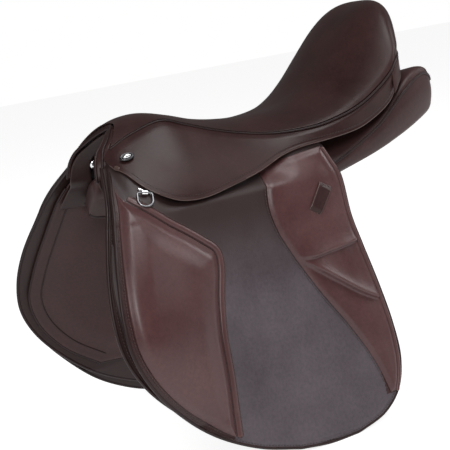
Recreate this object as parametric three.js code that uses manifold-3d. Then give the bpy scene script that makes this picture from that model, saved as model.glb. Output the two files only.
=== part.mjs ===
// English general purpose saddle, in millimetres.
// Frame: -Y is the pommel, +Y the cantle, +X the near (left) side, +Z up. The origin lies on the centre
// plane at the height where the panels bear on the horse's back. Every side piece is drawn once, for the
// near side, and a mirrored copy makes the off side.
import * as THREE from "three";
import { mergeVertices } from "three/addons/utils/BufferGeometryUtils.js";
import Module from "manifold-3d";

// ---- driving dimensions ------------------------------------------------------------------------------
const seatLength = 434; // front of the pommel to the back of the cantle, on the centre plane
const seatWidth = 258; // over the seat's welts at their widest
const flapDrop = 321; // bend line of the flap to its bottom edge
const flapHalfWidth = 120; // centre plane to the flap at the rear end of its bend line
const flapToeOut = 16; // how much wider the bend line is at its front end
const flapSplay = 0.225; // outward run of the flaps per unit of drop
const kneeBulge = 33; // how far the flap stands out over the knee block
const bendHeight = 5; // height of the flaps' bend line

const coverThickness = 2.4;
const foamThickness = 19;
const webbingThickness = 2.4;
const treeThickness = 9;
const skirtThickness = 3;
const skirtLift = 6; // skirt's outer face above the flap's outer face
const flapThickness = 3.5;
const guardThickness = 2.5;
const billetThickness = 4;
const billetWidth = 28;
const billetPitch = 42;
const billetLength = 235;
const sweatThickness = 3;
const panelEdgeDepth = 15; // stuffing along the panel's lower part
const channelHalfWidth = 32; // half the gullet channel between the panels
const kneePadHeight = 9;
// Knee pad's underside above the flap, where both are rounded and their facets differ.
const padSeat = 1.6 * ((321 * seatLength) / (434 * flapDrop)) ** 2;
const rearPadHeight = 4;
const weltDiameter = 4.6;
const barLength = 92;
const barDepth = 15;
const barThickness = 6;
const recessDepth = 14; // room between skirt and flap for the stirrup bar
const ringWidth = 19;
const ringHeight = 20;
const ringWire = 3;
const nailDiameter = 19;
const studDiameter = 12;

const clearance = 0.4; // between pieces that touch
const layerPlay = 1.6; // between layers that slide or lift

// ---- colours -----------------------------------------------------------------------------------------
const leatherDark = { color: 0x35211f, roughness: 0.6, metalness: 0 };
const leatherRed = { color: 0x44262a, roughness: 0.42, metalness: 0 };
const leatherMatte = { color: 0x433d40, roughness: 0.7, metalness: 0 };
const leatherInner = { color: 0x2c1f1f, roughness: 0.7, metalness: 0 };
const steel = { color: 0x8a8d90, roughness: 0.35, metalness: 1 };
const chrome = { color: 0xd5d8da, roughness: 0.15, metalness: 1 };
const foam = { color: 0xd8cfae, roughness: 0.95, metalness: 0 };
const canvas = { color: 0xcabfa4, roughness: 0.9, metalness: 0 };
const polymer = { color: 0x222225, roughness: 0.55, metalness: 0 };

// ---- helpers -----------------------------------------------------------------------------------------
const clamp01 = (x) => Math.min(1, Math.max(0, x));
const mix = (a, b, t) => a + (b - a) * t;
const ease = (a, b, x) => {
  const t = clamp01((x - a) / (b - a));
  return t * t * (3 - 2 * t);
};

// Outlines are drawn for a 434 mm seat, a 258 mm wide seat and a 321 mm flap, and stretch with them.
const along = (y) => (y * seatLength) / 434;
const wide = (x) => (x * seatWidth) / 258;
const drop = (z) => (z < bendHeight ? bendHeight + ((z - 5) * flapDrop) / 321 : z + bendHeight - 5);

// Smooth curve through rows of numbers whose first column is the key.
function through(rows) {
  const slope = rows.map((row, i) => {
    const a = rows[Math.max(0, i - 1)];
    const b = rows[Math.min(rows.length - 1, i + 1)];
    return row.map((_, k) => (b[k] - a[k]) / (b[0] - a[0]));
  });
  return (key) => {
    let i = 0;
    while (i < rows.length - 2 && key > rows[i + 1][0]) i++;
    const [a, b] = [rows[i], rows[i + 1]];
    const h = b[0] - a[0];
    const t = clamp01((key - a[0]) / h);
    const t2 = t * t;
    const t3 = t2 * t;
    return a.slice(1).map((_, n) => {
      const k = n + 1;
      const smooth =
        (2 * t3 - 3 * t2 + 1) * a[k] +
        (t3 - 2 * t2 + t) * h * slope[i][k] +
        (3 * t2 - 2 * t3) * b[k] +
        (t3 - t2) * h * slope[i + 1][k];
      return smooth;
    });
  };
}

// Smooth plane curve through [y, z] points, followed at even arc length by t from 0 to 1.
function outline(points) {
  const path = new THREE.CatmullRomCurve3(
    points.map(([y, z]) => new THREE.Vector3(0, along(y), drop(z))),
    false,
    "centripetal",
  );
  return (t) => path.getPointAt(t);
}

// Closed solid between two faces that share a grid of across x down cells.
function between(outer, inner, across, down) {
  const vertices = [];
  const faces = [];
  for (const face of [outer, inner])
    for (let j = 0; j <= down; j++)
      for (let i = 0; i <= across; i++) vertices.push(face(i / across, j / down));
  const at = (layer, i, j) => layer * (across + 1) * (down + 1) + j * (across + 1) + i;
  const quad = (a, b, c, d) => faces.push(a, b, c, a, c, d);
  for (let j = 0; j < down; j++)
    for (let i = 0; i < across; i++) {
      quad(at(0, i, j), at(0, i + 1, j), at(0, i + 1, j + 1), at(0, i, j + 1));
      quad(at(1, i, j), at(1, i, j + 1), at(1, i + 1, j + 1), at(1, i + 1, j));
    }
  for (let i = 0; i < across; i++) {
    quad(at(0, i, 0), at(1, i, 0), at(1, i + 1, 0), at(0, i + 1, 0));
    quad(at(0, i, down), at(0, i + 1, down), at(1, i + 1, down), at(1, i, down));
  }
  for (let j = 0; j < down; j++) {
    quad(at(0, 0, j), at(0, 0, j + 1), at(1, 0, j + 1), at(1, 0, j));
    quad(at(0, across, j), at(1, across, j), at(1, across, j + 1), at(0, across, j + 1));
  }
  let volume = 0;
  for (let f = 0; f < faces.length; f += 3) {
    const [a, b, c] = [vertices[faces[f]], vertices[faces[f + 1]], vertices[faces[f + 2]]];
    volume += a.dot(b.clone().cross(c));
  }
  if (volume < 0) faces.reverse();
  const geometry = new THREE.BufferGeometry();
  geometry.setAttribute("position", new THREE.Float32BufferAttribute(vertices.flatMap((v) => v.toArray()), 3));
  geometry.setIndex(faces);
  geometry.computeVertexNormals();
  return geometry;
}

function mesh(name, geometry, finish) {
  const made = new THREE.Mesh(geometry, new THREE.MeshStandardMaterial(finish));
  made.name = name;
  return made;
}

// ---- the seat's surface ------------------------------------------------------------------------------
// Stations along the seat: centre y, centre height, then the welt's half width, y and height, then how
// square the cross-section is.
const seatRows = [
  [-183, 119, 54, -211, 93, 2.6],
  [-165, 124, 53, -180, 106, 2.4],
  [-139, 124, 57, -138, 116, 2.2],
  [-108, 116, 63, -106, 105, 2.2],
  [-72, 104, 68, -72, 92, 2.2],
  [-31, 96, 75, -32, 80, 2.3],
  [10, 93, 87, 12, 72, 2.4],
  [60, 99, 104, 60, 72, 2.6],
  [97, 115, 117, 97, 80, 2.7],
  [128, 142, 123.5, 126, 91, 2.7],
  [160, 176, 128, 152, 107, 2.7],
  [192, 206, 129, 174, 124, 2.8],
  [218, 219, 124, 188, 138, 3],
  [236, 215, 114, 199, 144, 3.2],
  [246, 196, 102, 207, 148, 3.6],
  [250, 153, 90, 213, 151, 4],
];
const station = through(
  seatRows.map(([yc, zc, b, ys, zs, p], i) => [
    i / (seatRows.length - 1),
    along(yc),
    zc,
    wide(b),
    along(ys),
    zs,
    p,
  ]),
);
const seatMiddle = along(38);

// Point of the seat's surface at u across (-1 to 1) and v along (0 to 1), sunk by a layer's depth at the
// centre, drawn in at its edge, and sunk at its edge.
function seatPoint(u, v, { depth = 0, inset = 0, edge = 0 } = {}) {
  const [yc, zc, b, ys, zs, p] = station(v);
  const shrink = 1 - (2 * inset) / seatLength;
  const y = mix(yc, ys, u * u);
  const centre = zc - depth;
  return new THREE.Vector3(
    (b - inset) * u,
    seatMiddle + (y - seatMiddle) * shrink,
    centre - (centre - zs + edge) * Math.abs(u) ** p,
  );
}

// The layers share one grid of cells, so that their facets run parallel.
const seatCells = { across: 10, down: 24 };
function seatLayer(top, bottom, cells = [-5, 5, 0, 24]) {
  const [u0, u1, v0, v1] = cells;
  const face = (layer) => (s, t) =>
    seatPoint((2 * mix(u0, u1, s)) / seatCells.across, mix(v0, v1, t) / seatCells.down, layer);
  return between(face(top), face(bottom), u1 - u0, v1 - v0);
}

// The welt line by y: half width and height where the skirt meets the seat, and on to the pommel's tip.
const weltLine = through([
  [along(-224), wide(57), 78],
  ...seatRows.slice(0, 13).map(([, , b, ys, zs]) => [along(ys), wide(b), zs]),
]);

// ---- the flap's outer face ---------------------------------------------------------------------------
const bendFront = along(-250);
const bendRear = along(85);
const bendX = (y) => flapHalfWidth + (flapToeOut * (bendRear - y)) / (bendRear - bendFront);

function sideX(y, z) {
  const fallen = bendHeight - z;
  let x = bendX(y) + flapSplay * fallen;
  if (fallen > 0) {
    const round = Math.sin(Math.PI * clamp01(fallen / (0.78 * flapDrop))) ** 0.9;
    return x + kneeBulge * ease(along(-120), along(-285), y) * round;
  }
  const [weltX, weltZ] = weltLine(y);
  const rise = weltZ - bendHeight;
  const tuck = (bendX(y) - flapSplay * rise - (weltX - 5)) / rise ** 1.5;
  return x - tuck * (-fallen) ** 1.5;
}
const sidePoint = (y, z, offset) => new THREE.Vector3(sideX(y, z) + offset, y, z);

// Sheet or pad on the side: front and rear are outlines followed from top to bottom, and the offsets are
// numbers, or functions of s, t, y and z.
function sheet(front, rear, outerOffset, innerOffset, across, down) {
  const value = (offset, ...where) => (typeof offset === "function" ? offset(...where) : offset);
  const face = (offset) => (s, t) => {
    const p = front(t).lerp(rear(t), s);
    return sidePoint(p.y, p.z, value(offset, s, t, p.y, p.z));
  };
  return between(face(outerOffset), face(innerOffset), across, down);
}

// ---- layers under the flap, from its outer face inwards -------------------------------------------------
const guardOuter = -flapThickness - layerPlay;
const billetOuter = guardOuter - guardThickness - layerPlay / 2;
const sweatOuter = billetOuter - billetThickness - layerPlay / 2;
const sweatInner = sweatOuter - sweatThickness;
const panelOuter = sweatInner - padSeat;
const blockOuter = -flapThickness - 1.5 * layerPlay;
const blockInner = sweatOuter + clearance;

const pair = []; // functions that make the pieces of one side

// ---- flap, with its upper strip that stays under the skirt ------------------------------------------------
const bendGap = 0.5;
const flapFront = [
  [-256.5, 5 - bendGap],
  [-275, -44],
  [-287, -95],
  [-286, -140],
  [-268, -184],
  [-238, -224],
  [-196, -264],
  [-141, -295],
  [-85, -313],
];
const flapRear = [
  [79, 5 - bendGap],
  [79, -53],
  [84, -90],
  [93, -149],
  [98, -200],
  [96, -247],
  [80, -284],
  [50, -307],
  [5, -319],
];
pair.push((side) =>
  mesh(side + "_flap", sheet(outline(flapFront), outline(flapRear), 0, -flapThickness, 9, 12), leatherMatte),
);

// The strip dips to make room for the stirrup bar.
const recess = (y, z) =>
  -recessDepth *
  ease(bendHeight + 2, bendHeight + 24, z) *
  ease(along(-196), along(-160), y) *
  ease(along(20), along(-20), y);
pair.push((side) =>
  mesh(
    side + "_flap_top",
    sheet(
      outline([[-226, 61], [-243, 36], [-256, 5 + bendGap]]),
      outline([[62, 45], [70, 25], [79, 5 + bendGap]]),
      (s, t, y, z) => recess(y, z),
      (s, t, y, z) => recess(y, z) - flapThickness,
      14,
      5,
    ),
    leatherMatte,
  ),
);

// ---- pads on the flap -----------------------------------------------------------------------------------
const crown = (s, t, edge) =>
  (ease(0, edge, s) * ease(1, 1 - edge, s)) ** 0.6 * (ease(0, edge, t) * ease(1, 1 - edge, t)) ** 0.6;
const kneePadFront = [
  [-244, -4],
  [-263, -44],
  [-276, -92],
  [-276, -134],
  [-261, -174],
  [-232, -215],
  [-205, -243],
];
const kneePadRear = [
  [-196, -4],
  [-160, -29],
  [-139, -52],
  [-142, -85],
  [-152, -130],
  [-158, -190],
  [-166, -262],
];
pair.push((side) =>
  mesh(
    side + "_knee_pad",
    sheet(
      outline(kneePadFront),
      outline(kneePadRear),
      (s, t) => padSeat + 1.2 + kneePadHeight * crown(s, t, 0.35),
      padSeat,
      7,
      10,
    ),
    leatherRed,
  ),
);

const rearPadFront = [
  [-40, -5],
  [-37, -45],
  [-22, -82],
  [2, -134],
  [30, -186],
  [50, -232],
];
const rearPadRear = [
  [72, -5],
  [72, -53],
  [77, -92],
  [82, -149],
  [85, -200],
  [82, -238],
];
pair.push((side) =>
  mesh(
    side + "_rear_pad",
    sheet(
      outline(rearPadFront),
      outline(rearPadRear),
      (s, t) => clearance + 1.2 + rearPadHeight * crown(s, t, 0.3),
      clearance,
      6,
      9,
    ),
    leatherRed,
  ),
);
pair.push((side) =>
  mesh(
    side + "_rear_pad_top",
    sheet(
      outline([[-22, 22], [-30, 12], [-36, 5 + 2]]),
      outline([[70, 38], [72, 20], [74, 5 + 2]]),
      (s, t, y, z) => clearance + 1.6 + (s > 0.2 ? 0.4 : 0),
      (s, t, y, z) => clearance,
      5,
      3,
    ),
    leatherRed,
  ),
);

// Keeper that takes the end of the stirrup leather: a flat leather loop standing off the pad.
const keeperStand = 6;
pair.push((side) =>
  mesh(
    side + "_keeper",
    sheet(
      outline([[36, 0], [12, -32]]),
      outline([[58, -7], [34, -39]]),
      clearance + 1.2 + rearPadHeight + clearance + 3,
      clearance + 1.2 + rearPadHeight + clearance,
      3,
      4,
    ),
    leatherRed,
  ),
);

// ---- skirt: a fixed upper band and a lobe that lifts off the stirrup bar -----------------------------------
const weltGap = 1.2; // between the seat's edge and the welt
const seamDrop = weltDiameter + weltGap + 2 * clearance; // skirt's upper edge below the seat's edge
const foldStart = [-214, 64];
const foldEnd = [20, 50];
const foldGap = 0.4;
const foldHeight = (y) => {
  const t = (y - along(foldStart[0])) / (along(foldEnd[0]) - along(foldStart[0]));
  return mix(drop(foldStart[1]), drop(foldEnd[1]), t);
};
const skirtEdge = through(
  [
    [-222, 68],
    [-214, 63],
    [-202, 46],
    [-188, 33],
    [-162, 19],
    [-129, 15],
    [-90, 20],
    [-37, 30],
    [0, 41],
    [31, 47],
    [71, 50],
    [113, 55],
    [135, 62],
    [165, 78],
    [183, 96],
    [190, 112],
  ].map(([y, z]) => [along(y), drop(z)]),
);
const skirtSolid = (yFront, yRear, top, bottom, across, down) => {
  const face = (offset) => (s, t) => {
    const y = mix(along(yFront), along(yRear), s);
    return sidePoint(y, mix(top(y), bottom(y), t), offset);
  };
  return between(face(skirtLift), face(skirtLift - skirtThickness), across, down);
};
const skirtTop = (y) => weltLine(y)[1] - seamDrop;
const bandBottom = (y) => {
  const folded = y > along(foldStart[0]) && y < along(foldEnd[0]);
  return folded ? Math.max(foldHeight(y), skirtEdge(y)[0]) : skirtEdge(y)[0];
};
pair.push((side) => mesh(side + "_skirt_band", skirtSolid(-221, 188, skirtTop, bandBottom, 40, 2), leatherDark));
const lobeTop = (y) => foldHeight(y) - foldGap;
const lobeBottom = (y) => skirtEdge(y)[0];
pair.push((side) => mesh(side + "_skirt", skirtSolid(-208, 6, lobeTop, lobeBottom, 18, 5), leatherDark));

// ---- layers between flap and panel -------------------------------------------------------------------------
const billetAt = [-1, 0, 1].map((n) => along(-50) + n * billetPitch);
const billetTop = bendHeight - 7;
const guardMargin = 12;
function block(y0, y1, z0, z1, outer, inner, across, down) {
  const face = (offset) => (s, t) => {
    const y = mix(y0, y1, s);
    const z = mix(z0, z1, t);
    return sidePoint(y, z, typeof offset === "function" ? offset(y, z) : offset);
  };
  return between(face(outer), face(inner), across, down);
}
const billetFront = billetAt[0] - billetWidth / 2;
const billetRear = billetAt[2] + billetWidth / 2;
pair.push((side) =>
  mesh(
    side + "_buckle_guard",
    block(
      billetFront - guardMargin,
      billetRear + guardMargin,
      billetTop - 20,
      billetTop - 20 - 0.55 * billetLength,
      guardOuter,
      guardOuter - guardThickness,
      3,
      4,
    ),
    leatherInner,
  ),
);
["front", "middle", "rear"].forEach((place, n) =>
  pair.push((side) =>
    mesh(
      side + "_billet_" + place,
      block(
        billetAt[n] - billetWidth / 2,
        billetAt[n] + billetWidth / 2,
        billetTop,
        billetTop - billetLength,
        billetOuter,
        billetOuter - billetThickness,
        1,
        1,
      ),
      leatherInner,
    ),
  ),
);
const webThickness = 1.8;
const webShare = 1 - 4.9 / recessDepth; // how much of the recess the web follows to clear the flap's strip
const webOuter = (y, z) => billetOuter - 0.6 + webShare * recess(y, z);
const webInner = (y, z) => webOuter(y, z) - webThickness;
pair.push((side) =>
  mesh(
    side + "_girth_web",
    block(billetFront, billetRear, bendHeight + 42, bendHeight - 3, webOuter, webInner, 10, 6),
    canvas,
  ),
);

const sweatShare = 1 - 0.3 * (14 / recessDepth) ** 2; // how much of the recess the sweat flap follows to clear the web
const sweatShift = (y, z) => sweatShare * recess(y, z);
pair.push((side) =>
  mesh(
    side + "_sweat_flap",
    sheet(
      outline([
        [-227, 66], [-236, 48], [-250, 24], [-262, 0], [-283, -50], [-293, -95], [-292, -135],
        [-276, -174], [-246, -212], [-205, -247], [-150, -276], [-90, -294],
      ]),
      outline([
        [40, 40], [52, 24], [60, 0], [62, -50], [66, -95], [72, -150], [76, -200],
        [74, -235], [60, -264], [36, -284], [0, -296],
      ]),
      (s, t, y, z) => sweatOuter + sweatShift(y, z),
      (s, t, y, z) => sweatInner + sweatShift(y, z),
      11,
      14,
    ),
    leatherInner,
  ),
);
pair.push((side) =>
  mesh(
    side + "_knee_block",
    sheet(
      outline([[-264, -12], [-281, -56], [-286, -100], [-284, -135], [-268, -172]]),
      outline([[-226, -12], [-240, -56], [-246, -100], [-246, -135], [-240, -165]]),
      (s, t) => mix(blockInner + 3, blockOuter, crown(s, t, 0.4)),
      blockInner,
      6,
      9,
    ),
    leatherInner,
  ),
);
pair.push((side) =>
  mesh(
    side + "_thigh_block",
    sheet(
      outline([[30, -40], [34, -80], [40, -120], [44, -150]]),
      outline([[54, -30], [58, -75], [64, -120], [66, -156]]),
      (s, t) => mix(blockInner + 2, blockOuter, crown(s, t, 0.4)),
      blockInner,
      4,
      6,
    ),
    leatherInner,
  ),
);

// ---- panels ------------------------------------------------------------------------------------------------
// Rows: y, height at the channel, outer edge x and height, then the bearing face at the channel and edge.
const panelRow = through(
  [
    [-218, 42, 66, 22, 22, -4],
    [-203, 50, 82, 12, 20, -14],
    [-160, 56, 94, 6, 22, -22],
    [-90, 52, 99, 2, 14, -26],
    [-31, 46, 100, 0, 10, -28],
    [30, 48, 100, 4, 12, -20],
    [90, 60, 106, 22, 22, -2],
    [150, 84, 115, 56, 32, 16],
    [200, 106, 114, 92, 44, 34],
    [240, 116, 106, 111, 56, 50],
    [272, 102, 92, 98, 68, 62],
  ].map(([y, ...rest]) => [along(y), ...rest]),
);
const panelFront = along(-218);
const panelRear = along(272);
function panelTopFace(s, t) {
  const y = mix(panelFront, panelRear, s);
  const [top, x, z] = panelRow(y);
  return new THREE.Vector3(mix(channelHalfWidth, x, t), y, mix(top, z, t ** 1.6));
}
function panelBearing(s, t) {
  const y = mix(panelFront, panelRear, s);
  const [, x, , channel, edge] = panelRow(y);
  return new THREE.Vector3(mix(channelHalfWidth + 3, x - 5, t), y, mix(channel, edge, t ** 1.3));
}
pair.push((side) => mesh(side + "_panel", between(panelTopFace, panelBearing, 22, 6), leatherInner));
pair.push((side) =>
  mesh(
    side + "_lower_panel",
    sheet(
      outline([[-250, -34], [-271, -80], [-280, -120], [-270, -162], [-240, -203], [-196, -235]]),
      outline([[48, -34], [50, -80], [54, -120], [56, -162], [42, -205], [0, -245]]),
      panelOuter,
      (s, t) => panelOuter - 5 - (panelEdgeDepth - 5) * crown(s, t, 0.25),
      10,
      9,
    ),
    leatherInner,
  ),
);

// ---- seat layers, tree and its steel -----------------------------------------------------------------------
const foamTop = { depth: coverThickness + clearance, inset: coverThickness + clearance };
const foamBottom = { depth: foamTop.depth + foamThickness, inset: 20 };
const webbingTop = { depth: foamBottom.depth + clearance, inset: 20 };
const webbingBottom = { depth: webbingTop.depth + webbingThickness, inset: 20 };
const treeTop = { depth: webbingBottom.depth + clearance, inset: 20, edge: 4 };
const treeBottom = { depth: treeTop.depth + treeThickness, inset: 20, edge: 4 + treeThickness };
const centre = [
  mesh("seat_cover", seatLayer({}, { depth: coverThickness, inset: coverThickness }), leatherDark),
  mesh("seat_foam", seatLayer(foamTop, foamBottom, [-5, 5, 2, 24]), foam),
  mesh("seat_webbing", seatLayer(webbingTop, webbingBottom, [-2, 2, 3, 19]), canvas),
  mesh("tree", seatLayer(treeTop, treeBottom, [-5, 5, 2, 24]), polymer),
];

// Steel head: an arch under the front of the tree, ending in its points.
const headY = along(-160);
const headWidth = 34;
const headThickness = 4;
const headGap = -sweatInner + sweatShare * recessDepth + 2.5; // points' outer face inside the flap's
const headRise = 6; // crest of the arch above the ends of its legs' curve
const headLeg = [12, 28, 47, 60].map((z) => new THREE.Vector3(sideX(headY, drop(z)) - headGap, 0, drop(z)));
const mirrored = (p) => new THREE.Vector3(-p.x, p.y, p.z);
const headCurve = new THREE.CatmullRomCurve3([
  ...headLeg,
  new THREE.Vector3(0, 0, headLeg.at(-1).z + headRise),
  ...headLeg.map(mirrored).reverse(),
]);
const headFace = (inset) => (s, t) => {
  const tangent = headCurve.getTangent(s);
  const p = headCurve.getPoint(s).addScaledVector(new THREE.Vector3(tangent.z, 0, -tangent.x), -inset);
  return p.setY(headY + mix(-headWidth / 2, headWidth / 2, t));
};
centre.push(mesh("head_plate", between(headFace(0), headFace(headThickness), 24, 1), steel));

// ---- welt, cantle band, pommel facing and gullet lining ------------------------------------------------------
// Cord through points, open or closed on itself; flatten is the direction that its rings start from.
function cord(points, radius, sides, closed, flatten) {
  const count = points.length;
  const vertices = [];
  const faces = [];
  points.forEach((p, i) => {
    const ahead = points[closed ? (i + 1) % count : Math.min(i + 1, count - 1)];
    const behind = points[closed ? (i + count - 1) % count : Math.max(i - 1, 0)];
    const tangent = ahead.clone().sub(behind).normalize();
    const across = new THREE.Vector3().crossVectors(tangent, flatten).normalize();
    const up = new THREE.Vector3().crossVectors(across, tangent);
    for (let k = 0; k < sides; k++) {
      const angle = (2 * Math.PI * (k + 0.5)) / sides;
      vertices.push(
        p.clone().addScaledVector(across, radius * Math.cos(angle)).addScaledVector(up, radius * Math.sin(angle)),
      );
    }
  });
  const at = (i, k) => (i % count) * sides + (k % sides);
  for (let i = 0; i < (closed ? count : count - 1); i++)
    for (let k = 0; k < sides; k++)
      faces.push(at(i, k), at(i + 1, k + 1), at(i, k + 1), at(i, k), at(i + 1, k), at(i + 1, k + 1));
  if (!closed)
    for (let k = 1; k < sides - 1; k++) {
      faces.push(at(0, 0), at(0, k), at(0, k + 1));
      faces.push(at(count - 1, 0), at(count - 1, k + 1), at(count - 1, k));
    }
  const geometry = new THREE.BufferGeometry();
  geometry.setAttribute("position", new THREE.Float32BufferAttribute(vertices.flatMap((v) => v.toArray()), 3));
  geometry.setIndex(faces);
  geometry.computeVertexNormals();
  return geometry;
}
const up = new THREE.Vector3(0, 0, 1);
const mirrorRow = (row) => [...row, ...row.slice(0, -1).reverse().map(mirrored)];
const sideEdge = Array.from({ length: seatCells.down + 1 }, (_, j) => seatPoint(1, j / seatCells.down));
const backEdge = [0.8, 0.6, 0.4, 0.2, 0].map((u) => seatPoint(u, 1));
const seam = [...sideEdge, ...backEdge];
const sunk = (row, depth) => row.map((p) => p.clone().setZ(p.z - depth));
centre.push(
  mesh(
    "seat_welt",
    cord(mirrorRow(sunk(seam, weltDiameter / 2 + weltGap)), weltDiameter / 2, 6, false, up),
    leatherDark,
  ),
);

// Band that carries the skirt's line round the back of the cantle.
const bandHeight = 27;
const bandRow = mirrorRow(sunk(seam.slice(sideEdge.findIndex((p) => p.y > along(193))), seamDrop));
const bandFace = (outset) => (s, t) => {
  const i = Math.round(s * (bandRow.length - 1));
  const ahead = bandRow[Math.min(i + 1, bandRow.length - 1)];
  const behind = bandRow[Math.max(i - 1, 0)];
  const outward = new THREE.Vector3(behind.y - ahead.y, ahead.x - behind.x, 0).normalize();
  const p = bandRow[i].clone().addScaledVector(outward, -outset);
  return p.setZ(p.z - bandHeight * t);
};
centre.push(
  mesh("cantle_band", between(bandFace(1), bandFace(1 - skirtThickness), bandRow.length - 1, 2), leatherDark),
);

// Front of the pommel: the facing runs from the seat's front edge to the lip of the gullet, and the lining
// runs back from the lip.
const lip = [
  [0, -184, 114],
  [15, -197, 108],
  [28, -211, 98],
  [38, -224, 87],
  [46, -231, 74],
  [51, -234, 60],
  [52, -235, 56],
];
const brow = [
  [0, -180, 116],
  [19, -187, 111],
  [36, -197, 102],
  [46, -208, 92],
  [53, -214, 78],
  [55, -217, 64],
  [56, -218, 57],
];
const archCurve = (points, lower, back, crestBack = back) => {
  const crest = points[0][2];
  const foot = points.at(-1)[2];
  const half = points.map(
    ([x, y, z]) =>
      new THREE.Vector3(wide(x), along(y) + mix(back, crestBack, (z - foot) / (crest - foot)), z - lower),
  );
  return new THREE.CatmullRomCurve3([...half.map(mirrored).reverse(), ...half.slice(1)]);
};
const facingThickness = 3;
const liningThickness = 2.5;
const liningLength = 44; // at the legs
const liningCrest = 16; // and at the crest
const archBand = (rowA, rowB, thickness) => {
  const face = (inset) => (s, t) => {
    const p = rowA.getPoint(s).lerp(rowB.getPoint(s), t);
    const inward = new THREE.Vector3(-p.x, 0, 20 - p.z).normalize();
    return p.addScaledVector(inward, inset);
  };
  return between(face(0), face(thickness), 16, 2);
};
const browSink = coverThickness + clearance;
centre.push(
  mesh(
    "pommel_facing",
    archBand(archCurve(brow, browSink, -clearance - 1), archCurve(lip, 0, 0), facingThickness),
    leatherDark,
  ),
);
centre.push(
  mesh(
    "gullet_lining",
    archBand(
      archCurve(lip, facingThickness + 3, along(5)),
      archCurve(lip, facingThickness + 6, liningLength, liningCrest),
      liningThickness,
    ),
    leatherInner,
  ),
);

// ---- hardware ----------------------------------------------------------------------------------------------
const wasm = await Module();
wasm.setup();
function solid(geometry) {
  const bare = geometry.clone();
  for (const name of ["normal", "uv"]) bare.deleteAttribute(name);
  const merged = mergeVertices(bare, 1e-4);
  return new wasm.Manifold(
    new wasm.Mesh({
      numProp: 3,
      vertProperties: merged.attributes.position.array,
      triVerts: new Uint32Array(merged.index.array),
    }),
  );
}
function geometryOf(made) {
  const { vertProperties, triVerts } = made.getMesh();
  const geometry = new THREE.BufferGeometry();
  geometry.setAttribute("position", new THREE.BufferAttribute(vertProperties, 3));
  geometry.setIndex(new THREE.BufferAttribute(triVerts, 1));
  geometry.computeVertexNormals();
  return geometry;
}

// Frame on the side: x out of the flap, y to the rear, z up the flap, turned about x by an angle.
function sideFrame(y, z, offset, turn = 0) {
  const dy = (sideX(y + 1, z) - sideX(y - 1, z)) / 2;
  const dz = (sideX(y, z + 1) - sideX(y, z - 1)) / 2;
  const out = new THREE.Vector3(1, -dy, -dz).normalize();
  const rear = new THREE.Vector3(0, 1, 0).addScaledVector(out, -out.y).normalize();
  const up = new THREE.Vector3().crossVectors(out, rear);
  const frame = new THREE.Group();
  const place = new THREE.Matrix4().makeBasis(out, rear, up);
  place.setPosition(sidePoint(y, z, 0).addScaledVector(out, offset));
  frame.applyMatrix4(place.multiply(new THREE.Matrix4().makeRotationX(turn)));
  return frame;
}
const disc = (radius, sides) =>
  Array.from({ length: sides }, (_, i) => {
    const angle = (2 * Math.PI * (i + 0.5)) / sides;
    return [radius * Math.cos(angle), radius * Math.sin(angle)];
  });
// Outline in the local y-z plane, from x0 to x1.
function plate(points, x0, x1) {
  const shape = new THREE.Shape(points.map(([y, z]) => new THREE.Vector2(y, z)));
  const geometry = new THREE.ExtrudeGeometry(shape, { depth: x1 - x0, bevelEnabled: false });
  return geometry.applyMatrix4(new THREE.Matrix4().set(0, 0, 1, x0, 1, 0, 0, 0, 0, 1, 0, 0, 0, 0, 0, 1));
}
const rod = (radius, x0, x1) => plate(disc(radius, 14), x0, x1);

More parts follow.
